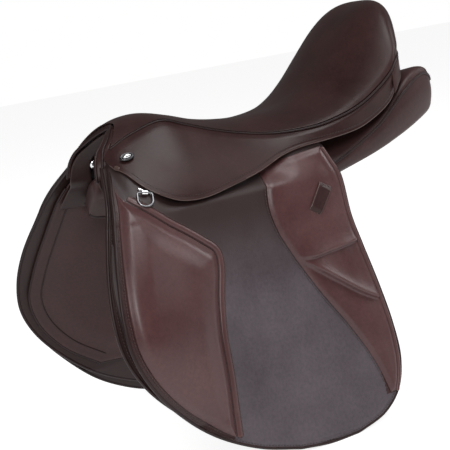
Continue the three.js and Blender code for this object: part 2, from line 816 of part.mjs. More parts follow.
// Stirrup bar with a fork at its open end, where the safety catch turns on a pin.
const catchLength = 20;
const pinRadius = 2;
const barStroke = 9; // height of the bar itself
const forkDepth = 11;
const tongueThickness = 2.6;
const barOffset = -2;
const barY = along(-95);
const barZ = drop(38);
const barRear = barLength / 2 - catchLength;
const pinY = barRear - forkDepth / 2 + 1;
const slotHalf = tongueThickness / 2 + clearance;
const barMiddle = -barThickness / 2;
pair.push((side) => {
  const frame = sideFrame(barY, barZ, barOffset);
  const base = -barDepth / 2;
  const blank = solid(
    plate(
      [
        [-barLength / 2, base],
        [barRear, base],
        [barRear, base + barStroke],
        [-barLength / 2 + 14, base + barStroke],
        [-barLength / 2 + 14, base + barDepth + 6],
        [-barLength / 2, base + barDepth + 6],
      ],
      -barThickness,
      0,
    ),
  );
  const slot = solid(
    plate(
      [
        [barRear - forkDepth, base - 1],
        [barRear + 1, base - 1],
        [barRear + 1, base + barStroke + 1],
        [barRear - forkDepth, base + barStroke + 1],
      ],
      barMiddle - slotHalf,
      barMiddle + slotHalf,
    ),
  );
  const pinZ = base + barStroke / 2;
  const bore = solid(rod(pinRadius + 0.3, -barThickness - 1, 1).translate(0, pinY, pinZ));
  frame.add(mesh(side + "_stirrup_bar", geometryOf(blank.subtract(slot).subtract(bore)), steel));
  frame.add(mesh(side + "_catch_pin", rod(pinRadius, -barThickness, 0).translate(0, pinY, pinZ), steel));

  // The catch: a tongue in the fork and a thumbpiece behind it, drawn about the pin.
  const tongue = solid(rod(barStroke / 2 - 0.3, -tongueThickness / 2, tongueThickness / 2));
  const arm = solid(
    plate(
      [
        [0, -2.6],
        [forkDepth / 2 + 3, -2.6],
        [forkDepth / 2 + 3, 2.6],
        [0, 2.6],
      ],
      -tongueThickness / 2,
      tongueThickness / 2,
    ),
  );
  const thumb = solid(
    plate(
      [
        [forkDepth / 2 + 1.2, -barStroke / 2],
        [forkDepth / 2 + catchLength - 3, -barStroke / 2],
        [forkDepth / 2 + catchLength, -1],
        [forkDepth / 2 + catchLength, 3],
        [forkDepth / 2 + catchLength - 3, barStroke / 2],
        [forkDepth / 2 + 1.2, barStroke / 2],
      ],
      -barThickness / 2,
      barThickness / 2,
    ),
  );
  const eye = solid(rod(pinRadius + 0.3, -barThickness, barThickness));
  const lever = mesh(side + "_bar_catch", geometryOf(tongue.add(arm).add(thumb).subtract(eye)), steel);
  lever.position.set(barMiddle, pinY, pinZ);
  frame.add(lever);
  return frame;
});

// Saddle nail on the skirt: a collar with a domed stud, turned about local x.
const turned = (profile, sides) => {
  const points = profile.map(([r, h]) => new THREE.Vector2(r, h));
  return new THREE.LatheGeometry(points, sides).rotateZ(-Math.PI / 2);
};
const nailY = along(-200);
const nailZ = drop(75);
pair.push((side) => {
  const frame = sideFrame(nailY, nailZ, skirtLift + clearance + 0.6);
  const r = nailDiameter / 2;
  const profile = [[0, 0], [r, 0], [r, 1], [r - 1.6, 2.2], [r - 3.4, 1.2], [r - 4, 2.6], [r - 6.5, 3.8], [0, 4.4]];
  frame.add(mesh(side + "_saddle_nail", turned(profile, 20), chrome));
  return frame;
});

// Front ring: a staple under the skirt's edge with a sleeve, and a D-shaped ring that swings in it.
const stapleY = along(-201.5);
const stapleZ = drop(34.5);
const stapleTurn = -0.3;
const sleeveRadius = ringWire / 2 + clearance + 1.4;
const stapleWidth = 7;
const stripLength = 18; // strip along the skirt's edge that the sleeve hangs from
const stripWidth = 3.4;
const stripThickness = 1.8;
pair.push((side) => {
  const frame = sideFrame(stapleY, stapleZ, clearance, stapleTurn);
  const profile = new THREE.Shape();
  profile.moveTo(0, 8);
  profile.lineTo(0, 0);
  profile.absarc(sleeveRadius, 0, sleeveRadius, Math.PI, 2 * Math.PI + 2.26, false);
  profile.lineTo(1.2, 8);
  const bore = new THREE.Path();
  bore.absarc(sleeveRadius, 0, ringWire / 2 + clearance, 0, 2 * Math.PI, true);
  profile.holes.push(bore);
  const sleeve = new THREE.ExtrudeGeometry(profile, { depth: stapleWidth, bevelEnabled: false, curveSegments: 14 });
  sleeve.applyMatrix4(
    new THREE.Matrix4().set(1, 0, 0, 0, 0, 0, -1, stapleWidth / 2, 0, 1, 0, 0, 0, 0, 0, 1),
  );
  const strip = new THREE.BoxGeometry(stripThickness, stripLength, stripWidth);
  strip.rotateX(-0.4).translate(stripThickness / 2, 1.5, 3.8);
  frame.add(mesh(side + "_ring_staple", geometryOf(solid(sleeve).add(solid(strip))), chrome));

  // The ring's straight side runs through the sleeve; its bow hangs down.
  const half = ringWidth / 2;
  const bow = new THREE.Path();
  bow.moveTo(-half + 3, 0);
  bow.lineTo(half - 3, 0);
  bow.absarc(half - 3, -3, 3, Math.PI / 2, 0, true);
  bow.absarc(0, half - ringHeight, half, 0, -Math.PI, true);
  bow.absarc(-half + 3, -3, 3, Math.PI, Math.PI / 2, true);
  const loop = bow.getSpacedPoints(26).slice(0, 26);
  const line = loop.map((p) => new THREE.Vector3(0, p.x, p.y));
  const ring = mesh(side + "_front_ring", cord(line, ringWire / 2, 6, true, new THREE.Vector3(1, 0, 0)), chrome);
  ring.position.set(sleeveRadius, 0, 0);
  frame.add(ring);
  return frame;
});

// Stud on each wall of the gullet lining, where the panel is drawn up to the head.
const studSeat = new THREE.Vector3(wide(39.5), along(-200), 66);
const studFacing = new THREE.Vector3(-0.94, 0, -0.35).normalize();
pair.push((side) => {
  const r = studDiameter / 2;
  const stud = mesh(side + "_gullet_stud", turned([[0, 0], [r, 0], [r, 0.8], [r - 2, 2], [0, 2.6]], 14), chrome);
  stud.quaternion.setFromUnitVectors(new THREE.Vector3(1, 0, 0), studFacing);
  stud.position.copy(studSeat);
  return stud;
});

// ---- assembly ----------------------------------------------------------------------------------------------
const saddle = new THREE.Group();
for (const piece of centre) saddle.add(piece);
for (const [side, mirror] of [["near", 1], ["off", -1]]) {
  const half = new THREE.Group();
  half.scale.x = mirror;
  for (const make of pair) half.add(make(side));
  saddle.add(half);
}
export default saddle;
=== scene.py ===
"""English saddle: detailed leather, padding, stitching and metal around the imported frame.

Shapes are worked out in millimetres in the frame's own axes (-Y pommel, +Y cantle, +X near side, +Z up)
and written to Blender in metres. Side pieces are drawn for the near side and mirrored for the off side.
"""
import math

import bpy
import numpy as np
from mathutils import Matrix, Vector


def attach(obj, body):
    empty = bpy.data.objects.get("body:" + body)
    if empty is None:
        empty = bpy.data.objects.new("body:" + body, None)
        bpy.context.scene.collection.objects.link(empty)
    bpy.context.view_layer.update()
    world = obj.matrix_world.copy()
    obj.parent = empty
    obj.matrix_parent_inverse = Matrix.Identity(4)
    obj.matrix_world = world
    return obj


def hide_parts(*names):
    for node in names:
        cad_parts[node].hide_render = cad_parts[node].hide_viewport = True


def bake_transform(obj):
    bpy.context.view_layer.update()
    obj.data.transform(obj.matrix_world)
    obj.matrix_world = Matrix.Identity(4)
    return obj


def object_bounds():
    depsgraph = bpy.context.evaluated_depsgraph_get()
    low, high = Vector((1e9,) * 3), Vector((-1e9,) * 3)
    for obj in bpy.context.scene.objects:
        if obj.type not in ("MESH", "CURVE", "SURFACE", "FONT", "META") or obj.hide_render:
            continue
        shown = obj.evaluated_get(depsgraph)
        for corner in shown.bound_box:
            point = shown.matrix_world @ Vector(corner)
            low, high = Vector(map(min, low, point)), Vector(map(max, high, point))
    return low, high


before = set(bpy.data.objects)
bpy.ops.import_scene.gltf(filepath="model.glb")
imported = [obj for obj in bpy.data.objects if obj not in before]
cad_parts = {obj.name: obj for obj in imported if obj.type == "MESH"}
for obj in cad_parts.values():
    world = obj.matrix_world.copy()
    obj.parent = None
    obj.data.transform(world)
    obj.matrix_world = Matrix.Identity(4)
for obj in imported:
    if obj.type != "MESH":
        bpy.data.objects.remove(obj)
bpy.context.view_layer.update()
STEP = 2.6  # grid spacing of the large sheets, mm
SIDES = (("near", 1.0), ("off", -1.0))


# ---- curves and surfaces ----
def ease(a, b, x):
    t = np.clip((np.asarray(x, float) - a) / (b - a), 0, 1)
    return t * t * (3 - 2 * t)


def hermite(t, a, b, slope_a, slope_b):
    """Cubic from a to b with the given slopes at its ends."""
    return (
        (2 * t**3 - 3 * t**2 + 1) * a + (t**3 - 2 * t**2 + t) * slope_a
        + (3 * t**2 - 2 * t**3) * b + (t**3 - t**2) * slope_b
    )


def through(rows):
    """Smooth curve through rows whose first column is the key; called with an array of keys."""
    rows = np.array(rows, float)
    n = len(rows)
    before = rows[np.maximum(np.arange(n) - 1, 0)]
    after = rows[np.minimum(np.arange(n) + 1, n - 1)]
    slope = (after - before) / (after[:, :1] - before[:, :1])

    def at(key):
        key = np.asarray(key, float)
        i = np.clip(np.searchsorted(rows[:, 0], key, side="right") - 1, 0, n - 2)
        h = (rows[i + 1, 0] - rows[i, 0])[..., None]
        t = np.clip((key - rows[i, 0])[..., None] / h, 0, 1)
        return hermite(t, rows[i], rows[i + 1], h * slope[i], h * slope[i + 1])[..., 1:]

    return at


def smooth(points, count=160):
    """Centripetal Catmull-Rom curve through points, resampled at even arc length."""
    p = np.array(points, float)
    p = np.vstack([2 * p[0] - p[1], p, 2 * p[-1] - p[-2]])
    out = []
    for i in range(1, len(p) - 2):
        a, b, c, e = p[i - 1 : i + 3]
        k0 = max(np.linalg.norm(b - a), 1e-6) ** 0.5
        k1 = max(np.linalg.norm(c - b), 1e-6) ** 0.5
        k2 = max(np.linalg.norm(e - c), 1e-6) ** 0.5
        m1 = ((b - a) / k0 - (c - a) / (k0 + k1) + (c - b) / k1) * k1
        m2 = ((c - b) / k1 - (e - b) / (k1 + k2) + (e - c) / k2) * k1
        t = np.linspace(0, 1, 24, endpoint=False)[:, None]
        out.append(hermite(t, b, c, m1, m2))
    out = np.vstack(out + [p[-2:-1]])
    return even(out, count)


def even(line, count):
    line = np.asarray(line, float)
    step = np.linalg.norm(np.diff(line, axis=0), axis=1)
    s = np.concatenate([[0], np.cumsum(step)])
    t = np.linspace(0, s[-1], count)
    return np.stack([np.interp(t, s, line[:, k]) for k in range(line.shape[1])], 1)


def length(line):
    return float(np.linalg.norm(np.diff(np.asarray(line, float), axis=0), axis=1).sum())


def distance(y, z, line):
    """Distance in the y-z plane from each point to a polyline."""
    shape = np.shape(y)
    p = np.stack([np.ravel(y), np.ravel(z)], 1)
    a, b = line[:-1], line[1:]
    ab = b - a
    sq = (ab**2).sum(1) + 1e-12
    best = np.full(len(p), 1e9)
    for k in range(len(a)):
        t = np.clip(((p - a[k]) @ ab[k]) / sq[k], 0, 1)
        q = p - a[k] - t[:, None] * ab[k]
        best = np.minimum(best, np.hypot(q[:, 0], q[:, 1]))
    return best.reshape(shape)


def border_distance(y, z, border):
    """Distance to the border for a grid whose own edges lie on it."""
    d = distance(y, z, border)
    d[0], d[-1], d[:, 0], d[:, -1] = 0, 0, 0, 0
    return d


def groove(d, at, width, depth):
    """Height of a pressed line that runs at a distance from the border."""
    return -depth * np.exp(-(((d - at) / width) ** 2))


SEAT_LENGTH = 434
SEAT_MIDDLE = 38
SEAT_ROWS = [
    [-183, 119, 54, -211, 93, 2.6],
    [-165, 124, 53, -180, 106, 2.4],
    [-139, 124, 57, -138, 116, 2.2],
    [-108, 116, 63, -106, 105, 2.2],
    [-72, 104, 68, -72, 92, 2.2],
    [-31, 96, 75, -32, 80, 2.3],
    [10, 93, 87, 12, 72, 2.4],
    [60, 99, 104, 60, 72, 2.6],
    [97, 115, 117, 97, 80, 2.7],
    [128, 142, 123.5, 126, 91, 2.7],
    [160, 176, 128, 152, 107, 2.7],
    [192, 206, 129, 174, 124, 2.8],
    [218, 219, 124, 188, 138, 3],
    [236, 215, 114, 199, 144, 3.2],
    [246, 196, 102, 207, 148, 3.6],
    [250, 153, 90, 213, 151, 4],
]
seat_station = through([[i / 15, *row] for i, row in enumerate(SEAT_ROWS)])
welt_line = through([[-224, 57, 78]] + [[r[3], r[2], r[4]] for r in SEAT_ROWS[:13]])
BEND = 5.0  # height of the flaps' bend line


def seat_point(u, v, depth=0.0, inset=0.0, edge=0.0):
    row = seat_station(v)
    yc, zc, b, ys, zs, p = [row[..., k] for k in range(6)]
    y = yc + (ys - yc) * u * u
    centre = zc - depth
    y = SEAT_MIDDLE + (y - SEAT_MIDDLE) * (1 - 2 * inset / SEAT_LENGTH)
    z = centre - (centre - zs + edge) * np.abs(u) ** p
    return np.stack([(b - inset) * u, y, z], -1)


def side_x(y, z):
    """The flap's outer face."""
    y, z = np.broadcast_arrays(np.asarray(y, float), np.asarray(z, float))
    fallen = BEND - z
    bend_x = 120 + 16 * (85 - y) / 335
    belly = np.sin(np.pi * np.clip(fallen / 250.4, 0, 1)) ** 0.9
    x = bend_x + 0.225 * fallen + 33 * ease(-120, -285, y) * belly
    w = welt_line(y)
    rise = w[..., 1] - BEND
    tuck = (bend_x - 0.225 * rise - (w[..., 0] - 5)) / rise**1.5
    return np.where(fallen < 0, x - tuck * np.maximum(-fallen, 0) ** 1.5, x)


def on_side(y, z, offset=0.0):
    y, z = np.broadcast_arrays(np.asarray(y, float), np.asarray(z, float))
    return np.stack([side_x(y, z) + offset, y, z], -1)


def side_normal(y, z):
    dy = (side_x(y + 0.5, z) - side_x(y - 0.5, z))
    dz = (side_x(y, z + 0.5) - side_x(y, z - 0.5))
    n = np.stack([np.ones_like(dy), -dy, -dz], -1)
    return n / np.linalg.norm(n, axis=-1, keepdims=True)


# ---- mesh building ----
class Build:
    """Vertices in mm, faces and material numbers gathered for one object."""

    def __init__(self):
        self.v, self.f, self.m, self.n = [], [], [], 0

    def add(self, verts, faces, mat=0):
        verts = np.asarray(verts, float).reshape(-1, 3)
        self.v.append(verts)
        self.f.append(np.asarray(faces, int) + self.n)
        mats = np.broadcast_to(np.asarray(mat), (len(faces),))
        self.m.append(mats)
        self.n += len(verts)
        return self

    def object(self, name, materials, mirror=1.0):
        v = np.vstack(self.v) * 0.001
        v[:, 0] *= mirror
        faces, mats = [], []
        for f, m in zip(self.f, self.m):
            if mirror < 0:
                f = f[:, ::-1]
            faces.extend(f.tolist())
            mats.extend(np.asarray(m).tolist())
        used = np.unique(np.concatenate([f.ravel() for f in self.f]))
        index = np.zeros(len(v), int)
        index[used] = np.arange(len(used))
        faces = [[int(index[i]) for i in f] for f in faces]
        mesh = bpy.data.meshes.new(name)
        mesh.from_pydata(v[used].tolist(), [], faces)
        mesh.polygons.foreach_set("material_index", mats)
        mesh.polygons.foreach_set("use_smooth", [True] * len(faces))
        for material in materials:
            mesh.materials.append(material)
        mesh.validate()
        mesh.update()
        made = bpy.data.objects.new(name, mesh)
        bpy.context.scene.collection.objects.link(made)
        return made


def quads(nu, nv, wrap_u=False, wrap_v=False):
    """Faces of a grid whose vertices run v fastest."""
    i, j = np.meshgrid(
        np.arange(nu if wrap_u else nu - 1), np.arange(nv if wrap_v else nv - 1), indexing="ij"
    )
    i, j = i.ravel(), j.ravel()
    i1, j1 = (i + 1) % nu, (j + 1) % nv
    return np.stack([i * nv + j, i1 * nv + j, i1 * nv + j1, i * nv + j1], 1)


def ticks(size, step, rim=(0.0, 0.35, 0.9, 1.7, 2.8, 4.2, 6.0)):
    """Places from 0 to 1 along a size, close together at both ends."""
    rim = np.array([r for r in rim if r < size / 2 - step], float)
    if not len(rim):
        rim = np.array([0.0, min(0.4, size / 6), min(1.2, size / 4)])
    middle = np.linspace(rim[-1], size - rim[-1], max(2, int((size - 2 * rim[-1]) / step) + 1))
    return np.concatenate([rim, middle[1:-1], size - rim[::-1]]) / size


def skin(build, outer, inner, mats_outer, mats_inner=None, inner_mat=0):
    """Closed body between two grids of points that share their border."""
    nu, nv = outer.shape[:2]
    count = nu * nv
    index = np.arange(count).reshape(nu, nv)
    twin = index + count
    twin[0], twin[-1] = index[0], index[-1]
    twin[:, 0], twin[:, -1] = index[:, 0], index[:, -1]
    top = quads(nu, nv)
    bottom = twin.ravel()[top][:, ::-1]
    middle = outer[nu // 2, nv // 2] - inner[nu // 2, nv // 2]
    u = outer[nu // 2 + 1, nv // 2] - outer[nu // 2, nv // 2]
    w = outer[nu // 2, nv // 2 + 1] - outer[nu // 2, nv // 2]
    if np.dot(np.cross(u, w), middle) < 0:
        top, bottom = top[:, ::-1], bottom[:, ::-1]
    faces = np.vstack([top, bottom])
    mats = np.concatenate(
        [
            np.broadcast_to(mats_outer, (len(top),)),
            np.broadcast_to(inner_mat if mats_inner is None else mats_inner, (len(top),)),
        ]
    )
    build.add(np.concatenate([outer.reshape(-1, 3), inner.reshape(-1, 3)]), faces, mats)


def cell_mean(grid):
    return ((grid[:-1, :-1] + grid[1:, :-1] + grid[1:, 1:] + grid[:-1, 1:]) / 4).ravel()


def half_round(d, radius):
    """Height of a rounded edge, 0 at the border and 1 a radius inside it."""
    t = np.clip(np.asarray(d) / radius, 0, 1)
    return np.sqrt(np.clip(1 - (1 - t) ** 2, 0, 1))


def side_sheet(
    build, front, rear, offset, thickness, relief=None, step=None, mat=0, rim_mat=None, rim=0.9, inner_mat=None
):
    """Sheet on the side between two outlines. offset(y, z) is its outer face, relief(y, z, d) is added to
    the outer face only, where d is the distance to the border."""
    step = step or STEP
    front, rear = even(front, 220), even(rear, 220)
    width = np.linalg.norm(front - rear, axis=1).mean()
    down = (length(front) + length(rear)) / 2
    s, t = ticks(width, step), ticks(down, step)
    at = t * 219
    k = np.clip(at.astype(int), 0, 218)
    w = (at - k)[:, None]
    f = front[k] * (1 - w) + front[k + 1] * w
    r = rear[k] * (1 - w) + rear[k + 1] * w
    yz = f[None] * (1 - s[:, None, None]) + r[None] * s[:, None, None]
    y, z = yz[..., 0], yz[..., 1]
    border = np.vstack([front, rear[::-1], front[:1]])
    d = border_distance(y, z, border)
    high = half_round(d, thickness / 2) * thickness / 2
    base = offset(y, z) if callable(offset) else np.full(y.shape, float(offset))
    middle = base - thickness / 2
    top = middle + high + (relief(y, z, d) if relief else 0)
    low = middle - high
    mats = mat(cell_mean(y), cell_mean(z)) if callable(mat) else mat
    if rim_mat is not None:
        mats = np.where(cell_mean(d) < rim, rim_mat, mats)
    skin(build, on_side(y, z, top), on_side(y, z, low), mats, inner_mat=mat if inner_mat is None else inner_mat)


def frames(line, normal=None):
    line = np.asarray(line, float)
    tangent = np.gradient(line, axis=0)
    tangent /= np.linalg.norm(tangent, axis=1, keepdims=True) + 1e-12
    if normal is None:
        normal = np.array([0, 0, 1.0])
    normal = np.broadcast_to(np.asarray(normal, float), line.shape)
    across = np.cross(tangent, normal)
    across /= np.linalg.norm(across, axis=1, keepdims=True) + 1e-12
    out = np.cross(across, tangent)
    return tangent, across, out


def tube(build, line, radius, sides=10, closed=False, mat=0, normal=None, flat=1.0):
    """Tube along a line; flat scales it along the normal."""
    line = np.asarray(line, float)
    if closed:
        ext = np.vstack([line[-2:], line, line[:2]])
        _, across, out = frames(ext, None if normal is None else np.vstack([normal[-2:], normal, normal[:2]]))
        across, out = across[2:-2], out[2:-2]
    else:
        _, across, out = frames(line, normal)
    angle = np.arange(sides) * 2 * np.pi / sides
    rings = line[:, None] + radius * (
        np.cos(angle)[None, :, None] * across[:, None] + flat * np.sin(angle)[None, :, None] * out[:, None]
    )
    faces = quads(len(line), sides, wrap_u=closed, wrap_v=True)
    if np.dot(np.cross(rings[1, 0] - rings[0, 0], rings[0, 1] - rings[0, 0]), rings[0, 0] - line[0]) < 0:
        faces = faces[:, ::-1]
    build.add(rings.reshape(-1, 3), faces, mat)
    if not closed:
        for end, ring in ((line[0], rings[0]), (line[-1], rings[-1])):
            inward = (line[1] - line[0]) if np.allclose(end, line[0]) else (line[-2] - line[-1])
            inward = inward / (np.linalg.norm(inward) + 1e-12)
            tip = end - inward * radius * 0.6
            loop = np.vstack([ring, tip])
            k = np.arange(sides)
            tri = np.stack([k, (k + 1) % sides, np.full(sides, sides)], 1)
            c = np.cross(ring[1] - ring[0], tip - ring[0])
            if np.dot(c, ring[0] - end) < 0:
                tri = tri[:, ::-1]
            build.add(loop, tri, mat)


CAPSULE = []
for x, r in ((-1.0, 0.0), (-0.86, 0.7), (-0.45, 1.0), (0.45, 1.0), (0.86, 0.7), (1.0, 0.0)):
    for k in range(6):
        a = k * math.pi / 3
        CAPSULE.append((x, r * math.cos(a), r * math.sin(a)))
CAPSULE = np.array(CAPSULE)


def stitches(build, line, normal, mat, pitch=4.0, long=2.9, radius=0.42):
    """Row of thread stitches lying on a surface along a line."""
    total = length(line)
    count = max(2, int(total / pitch))
    fine = even(line, count * 2 + 1)
    nrm = even(normal, count * 2 + 1) if len(normal) > 1 else np.repeat(normal, count * 2 + 1, 0)
    mid, n = fine[1::2], nrm[1::2]
    tangent = fine[2::2] - fine[:-2:2]
    tangent /= np.linalg.norm(tangent, axis=1, keepdims=True) + 1e-12
    across = np.cross(tangent, n)
    across /= np.linalg.norm(across, axis=1, keepdims=True) + 1e-12
    n = np.cross(across, tangent)
    local = CAPSULE * np.array([long / 2, radius, radius])
    dip = -0.25 * (np.abs(CAPSULE[:, 0]) > 0.8)
    verts = (
        mid[:, None]
        + local[None, :, 0:1] * tangent[:, None]
        + local[None, :, 1:2] * across[:, None]
        + (local[None, :, 2:3] + dip[None, :, None] + 0.1) * n[:, None]
    )
    rings = quads(6, 6, wrap_v=True)
    faces = (np.arange(len(mid))[:, None, None] * 36 + rings[None]).reshape(-1, 4)
    build.add(verts.reshape(-1, 3), faces[:, ::-1], mat)


def side_stitches(build, yz, offset, mat, pitch=4.0, long=2.9, radius=0.42):
    yz = even(yz, max(8, int(length(yz) / 2)))
    off = offset(yz[:, 0], yz[:, 1]) if callable(offset) else offset
    stitches(build, on_side(yz[:, 0], yz[:, 1], off), side_normal(yz[:, 0], yz[:, 1]), mat, pitch, long, radius)


def side_tube(build, yz, offset, radius, mat=0, sides=10, flat=1.0, count=None, closed=False):
    yz = even(yz, count or max(12, int(length(yz) / 4)))
    off = offset(yz[:, 0], yz[:, 1]) if callable(offset) else offset
    tube(
        build,
        on_side(yz[:, 0], yz[:, 1], off),
        radius,
        sides,
        closed,
        mat,
        side_normal(yz[:, 0], yz[:, 1]),
        flat,
    )


def inset_line(yz, by, count=200):
    """Line moved to its left (seen with y to the right and z up) by a distance."""
    yz = even(yz, count)
    t = np.gradient(yz, axis=0)
    t /= np.linalg.norm(t, axis=1, keepdims=True) + 1e-12
    return yz + by * np.stack([-t[:, 1], t[:, 0]], 1)


# ---- materials ----
def new_material(name):
    mat = bpy.data.materials.new(name)
    mat.use_nodes = True
    tree = mat.node_tree
    tree.nodes.clear()
    out = tree.nodes.new("ShaderNodeOutputMaterial")
    bsdf = tree.nodes.new("ShaderNodeBsdfPrincipled")
    tree.links.new(bsdf.outputs[0], out.inputs[0])
    coord = tree.nodes.new("ShaderNodeTexCoord")
    return mat, tree, bsdf, coord.outputs["Object"]


def noise(tree, coord, scale, detail=3.0, rough=0.5):
    node = tree.nodes.new("ShaderNodeTexNoise")
    node.inputs["Scale"].default_value = scale
    node.inputs["Detail"].default_value = detail
    node.inputs["Roughness"].default_value = rough
    tree.links.new(coord, node.inputs["Vector"])
    return node.outputs["Fac"]


def ramp(tree, fac, stops):
    node = tree.nodes.new("ShaderNodeValToRGB")
    node.color_ramp.elements[0].position, node.color_ramp.elements[0].color = stops[0][0], (*stops[0][1], 1)
    node.color_ramp.elements[1].position, node.color_ramp.elements[1].color = stops[-1][0], (*stops[-1][1], 1)
    for place, colour in stops[1:-1]:
        element = node.color_ramp.elements.new(place)
        element.color = (*colour, 1)
    tree.links.new(fac, node.inputs["Fac"])
    return node.outputs["Color"]


def spread(tree, fac, low, high, start=0.3, end=0.7):
    node = tree.nodes.new("ShaderNodeMapRange")
    node.inputs["From Min"].default_value = start
    node.inputs["From Max"].default_value = end
    node.inputs["To Min"].default_value = low
    node.inputs["To Max"].default_value = high
    tree.links.new(fac, node.inputs["Value"])
    return node.outputs["Result"]


def blend_colour(tree, fac, a, b, mode="MIX"):
    node = tree.nodes.new("ShaderNodeMix")
    node.data_type = "RGBA"
    node.blend_type = mode
    if isinstance(fac, float):
        node.inputs[0].default_value = fac
    else:
        tree.links.new(fac, node.inputs[0])
    for value, socket in ((a, node.inputs[6]), (b, node.inputs[7])):
        if isinstance(value, tuple):
            socket.default_value = (*value, 1)
        else:
            tree.links.new(value, socket)
    return node.outputs[2]


def bump(tree, bsdf, layers):
    """layers: (height, strength, distance in m), stacked."""
    last = None
    for height, strength, far in layers:
        node = tree.nodes.new("ShaderNodeBump")
        node.inputs["Strength"].default_value = strength
        node.inputs["Distance"].default_value = far
        tree.links.new(height, node.inputs["Height"])
        if last is not None:
            tree.links.new(last, node.inputs["Normal"])
        last = node.outputs["Normal"]
    tree.links.new(last, bsdf.inputs["Normal"])


def leather(
    name, dark, light, rough=0.45, rough_range=0.08, grain=650.0, grain_depth=0.25, specular=0.5, coat=0.0,
    coat_rough=0.3, sheen=0.0, sheen_tint=(0.5, 0.5, 0.5), worn=(0.3, 0.2, 0.18), wear=0.25, painted_shade_top=None,
):
    mat, tree, bsdf, coord = new_material(name)
    broad = noise(tree, coord, 14.0, 4.0, 0.6)
    colour = ramp(tree, broad, [(0.3, dark), (0.72, light)])
    fine = noise(tree, coord, 260.0, 3.0, 0.6)
    speck = ramp(tree, fine, [(0.35, (0.86, 0.86, 0.86)), (0.65, (1.1, 1.1, 1.1))])
    colour = blend_colour(tree, 1.0, colour, speck, "MULTIPLY")
    # Painted shade: the colour darkens towards the top of the piece (higher Z), standing in for the shadow that the
    # skirt casts on the flap.
    if painted_shade_top:
        low, high, tint = painted_shade_top
        split = tree.nodes.new("ShaderNodeSeparateXYZ")
        tree.links.new(coord, split.inputs[0])
        shade_amount = spread(tree, split.outputs["Z"], 0.0, 1.0, low, high)
        colour = blend_colour(tree, shade_amount, colour, tint)
    if wear:
        geometry = tree.nodes.new("ShaderNodeNewGeometry")
        edge = spread(tree, geometry.outputs["Pointiness"], 0.0, wear, 0.515, 0.6)
        colour = blend_colour(tree, edge, colour, worn)
    tree.links.new(colour, bsdf.inputs["Base Color"])
    tree.links.new(spread(tree, broad, rough - rough_range, rough + rough_range), bsdf.inputs["Roughness"])
    cells = tree.nodes.new("ShaderNodeTexVoronoi")
    cells.inputs["Scale"].default_value = grain
    tree.links.new(coord, cells.inputs["Vector"])
    creases = noise(tree, coord, 48.0, 5.0, 0.65)
    bump(
        tree,
        bsdf,
        [
            (creases, 0.12, 0.0012),
            (cells.outputs["Distance"], grain_depth, 0.0002),
            (fine, grain_depth * 0.6, 0.0002),
        ],
    )
    bsdf.inputs["Specular IOR Level"].default_value = specular
    bsdf.inputs["Coat Weight"].default_value = coat
    bsdf.inputs["Coat Roughness"].default_value = coat_rough
    bsdf.inputs["Sheen Weight"].default_value = sheen
    bsdf.inputs["Sheen Roughness"].default_value = 0.45
    bsdf.inputs["Sheen Tint"].default_value = (*sheen_tint, 1)
    return mat


def metal(name, colour, rough, scratch=0.06, scale=420.0):
    mat, tree, bsdf, coord = new_material(name)
    broad = noise(tree, coord, 60.0, 3.0)
    tint = tuple(c * 0.82 for c in colour)
    tree.links.new(ramp(tree, broad, [(0.3, tint), (0.7, colour)]), bsdf.inputs["Base Color"])
    stretch = tree.nodes.new("ShaderNodeMapping")
    stretch.inputs["Scale"].default_value = (1.0, 0.06, 1.0)
    tree.links.new(coord, stretch.inputs["Vector"])
    lines = noise(tree, stretch.outputs[0], scale * 4, 2.0)
    tree.links.new(spread(tree, lines, rough, rough + scratch), bsdf.inputs["Roughness"])
    bump(tree, bsdf, [(lines, 0.05, 0.0001), (noise(tree, coord, 180.0, 2.0), 0.04, 0.0002)])
    bsdf.inputs["Metallic"].default_value = 1.0
    return mat


def thread(name, colour):
    mat, tree, bsdf, coord = new_material(name)
    wave = tree.nodes.new("ShaderNodeTexWave")
    wave.inputs["Scale"].default_value = 900.0
    wave.bands_direction = "DIAGONAL"
    tree.links.new(coord, wave.inputs["Vector"])
    tint = tuple(c * 0.6 for c in colour)
    tree.links.new(ramp(tree, wave.outputs["Fac"], [(0.2, tint), (0.8, colour)]), bsdf.inputs["Base Color"])
    tree.links.new(spread(tree, noise(tree, coord, 300.0), 0.55, 0.75), bsdf.inputs["Roughness"])
    bump(tree, bsdf, [(wave.outputs["Fac"], 0.4, 0.0001)])
    return mat


def woven(name, dark, light, scale=420.0):
    mat, tree, bsdf, coord = new_material(name)
    facs = []
    for direction in ("Y", "Z"):
        wave = tree.nodes.new("ShaderNodeTexWave")
        wave.bands_direction = direction
        wave.inputs["Scale"].default_value = scale
        tree.links.new(coord, wave.inputs["Vector"])
        facs.append(wave.outputs["Fac"])
    weave = tree.nodes.new("ShaderNodeMath")
    weave.operation = "MULTIPLY"
    tree.links.new(facs[0], weave.inputs[0])
    tree.links.new(facs[1], weave.inputs[1])
    base = ramp(tree, weave.outputs[0], [(0.05, dark), (0.6, light)])
    worn = ramp(tree, noise(tree, coord, 25.0), [(0.3, (0.85, 0.85, 0.85)), (0.7, (1.05, 1.05, 1.05))])
    tree.links.new(blend_colour(tree, 1.0, base, worn, "MULTIPLY"), bsdf.inputs["Base Color"])
    tree.links.new(spread(tree, noise(tree, coord, 200.0), 0.75, 0.95), bsdf.inputs["Roughness"])
    bump(tree, bsdf, [(weave.outputs[0], 0.5, 0.0004)])
    return mat


def plain(name, dark, light, rough, grain, depth):
    """Moulded plastic or foam."""
    mat, tree, bsdf, coord = new_material(name)
    broad = noise(tree, coord, 30.0, 4.0)
    tree.links.new(ramp(tree, broad, [(0.3, dark), (0.7, light)]), bsdf.inputs["Base Color"])
    fine = noise(tree, coord, grain, 4.0, 0.7)
    tree.links.new(spread(tree, fine, rough - 0.08, rough + 0.08), bsdf.inputs["Roughness"])
    bump(tree, bsdf, [(fine, depth, 0.0005), (broad, depth * 0.5, 0.001)])
    return mat


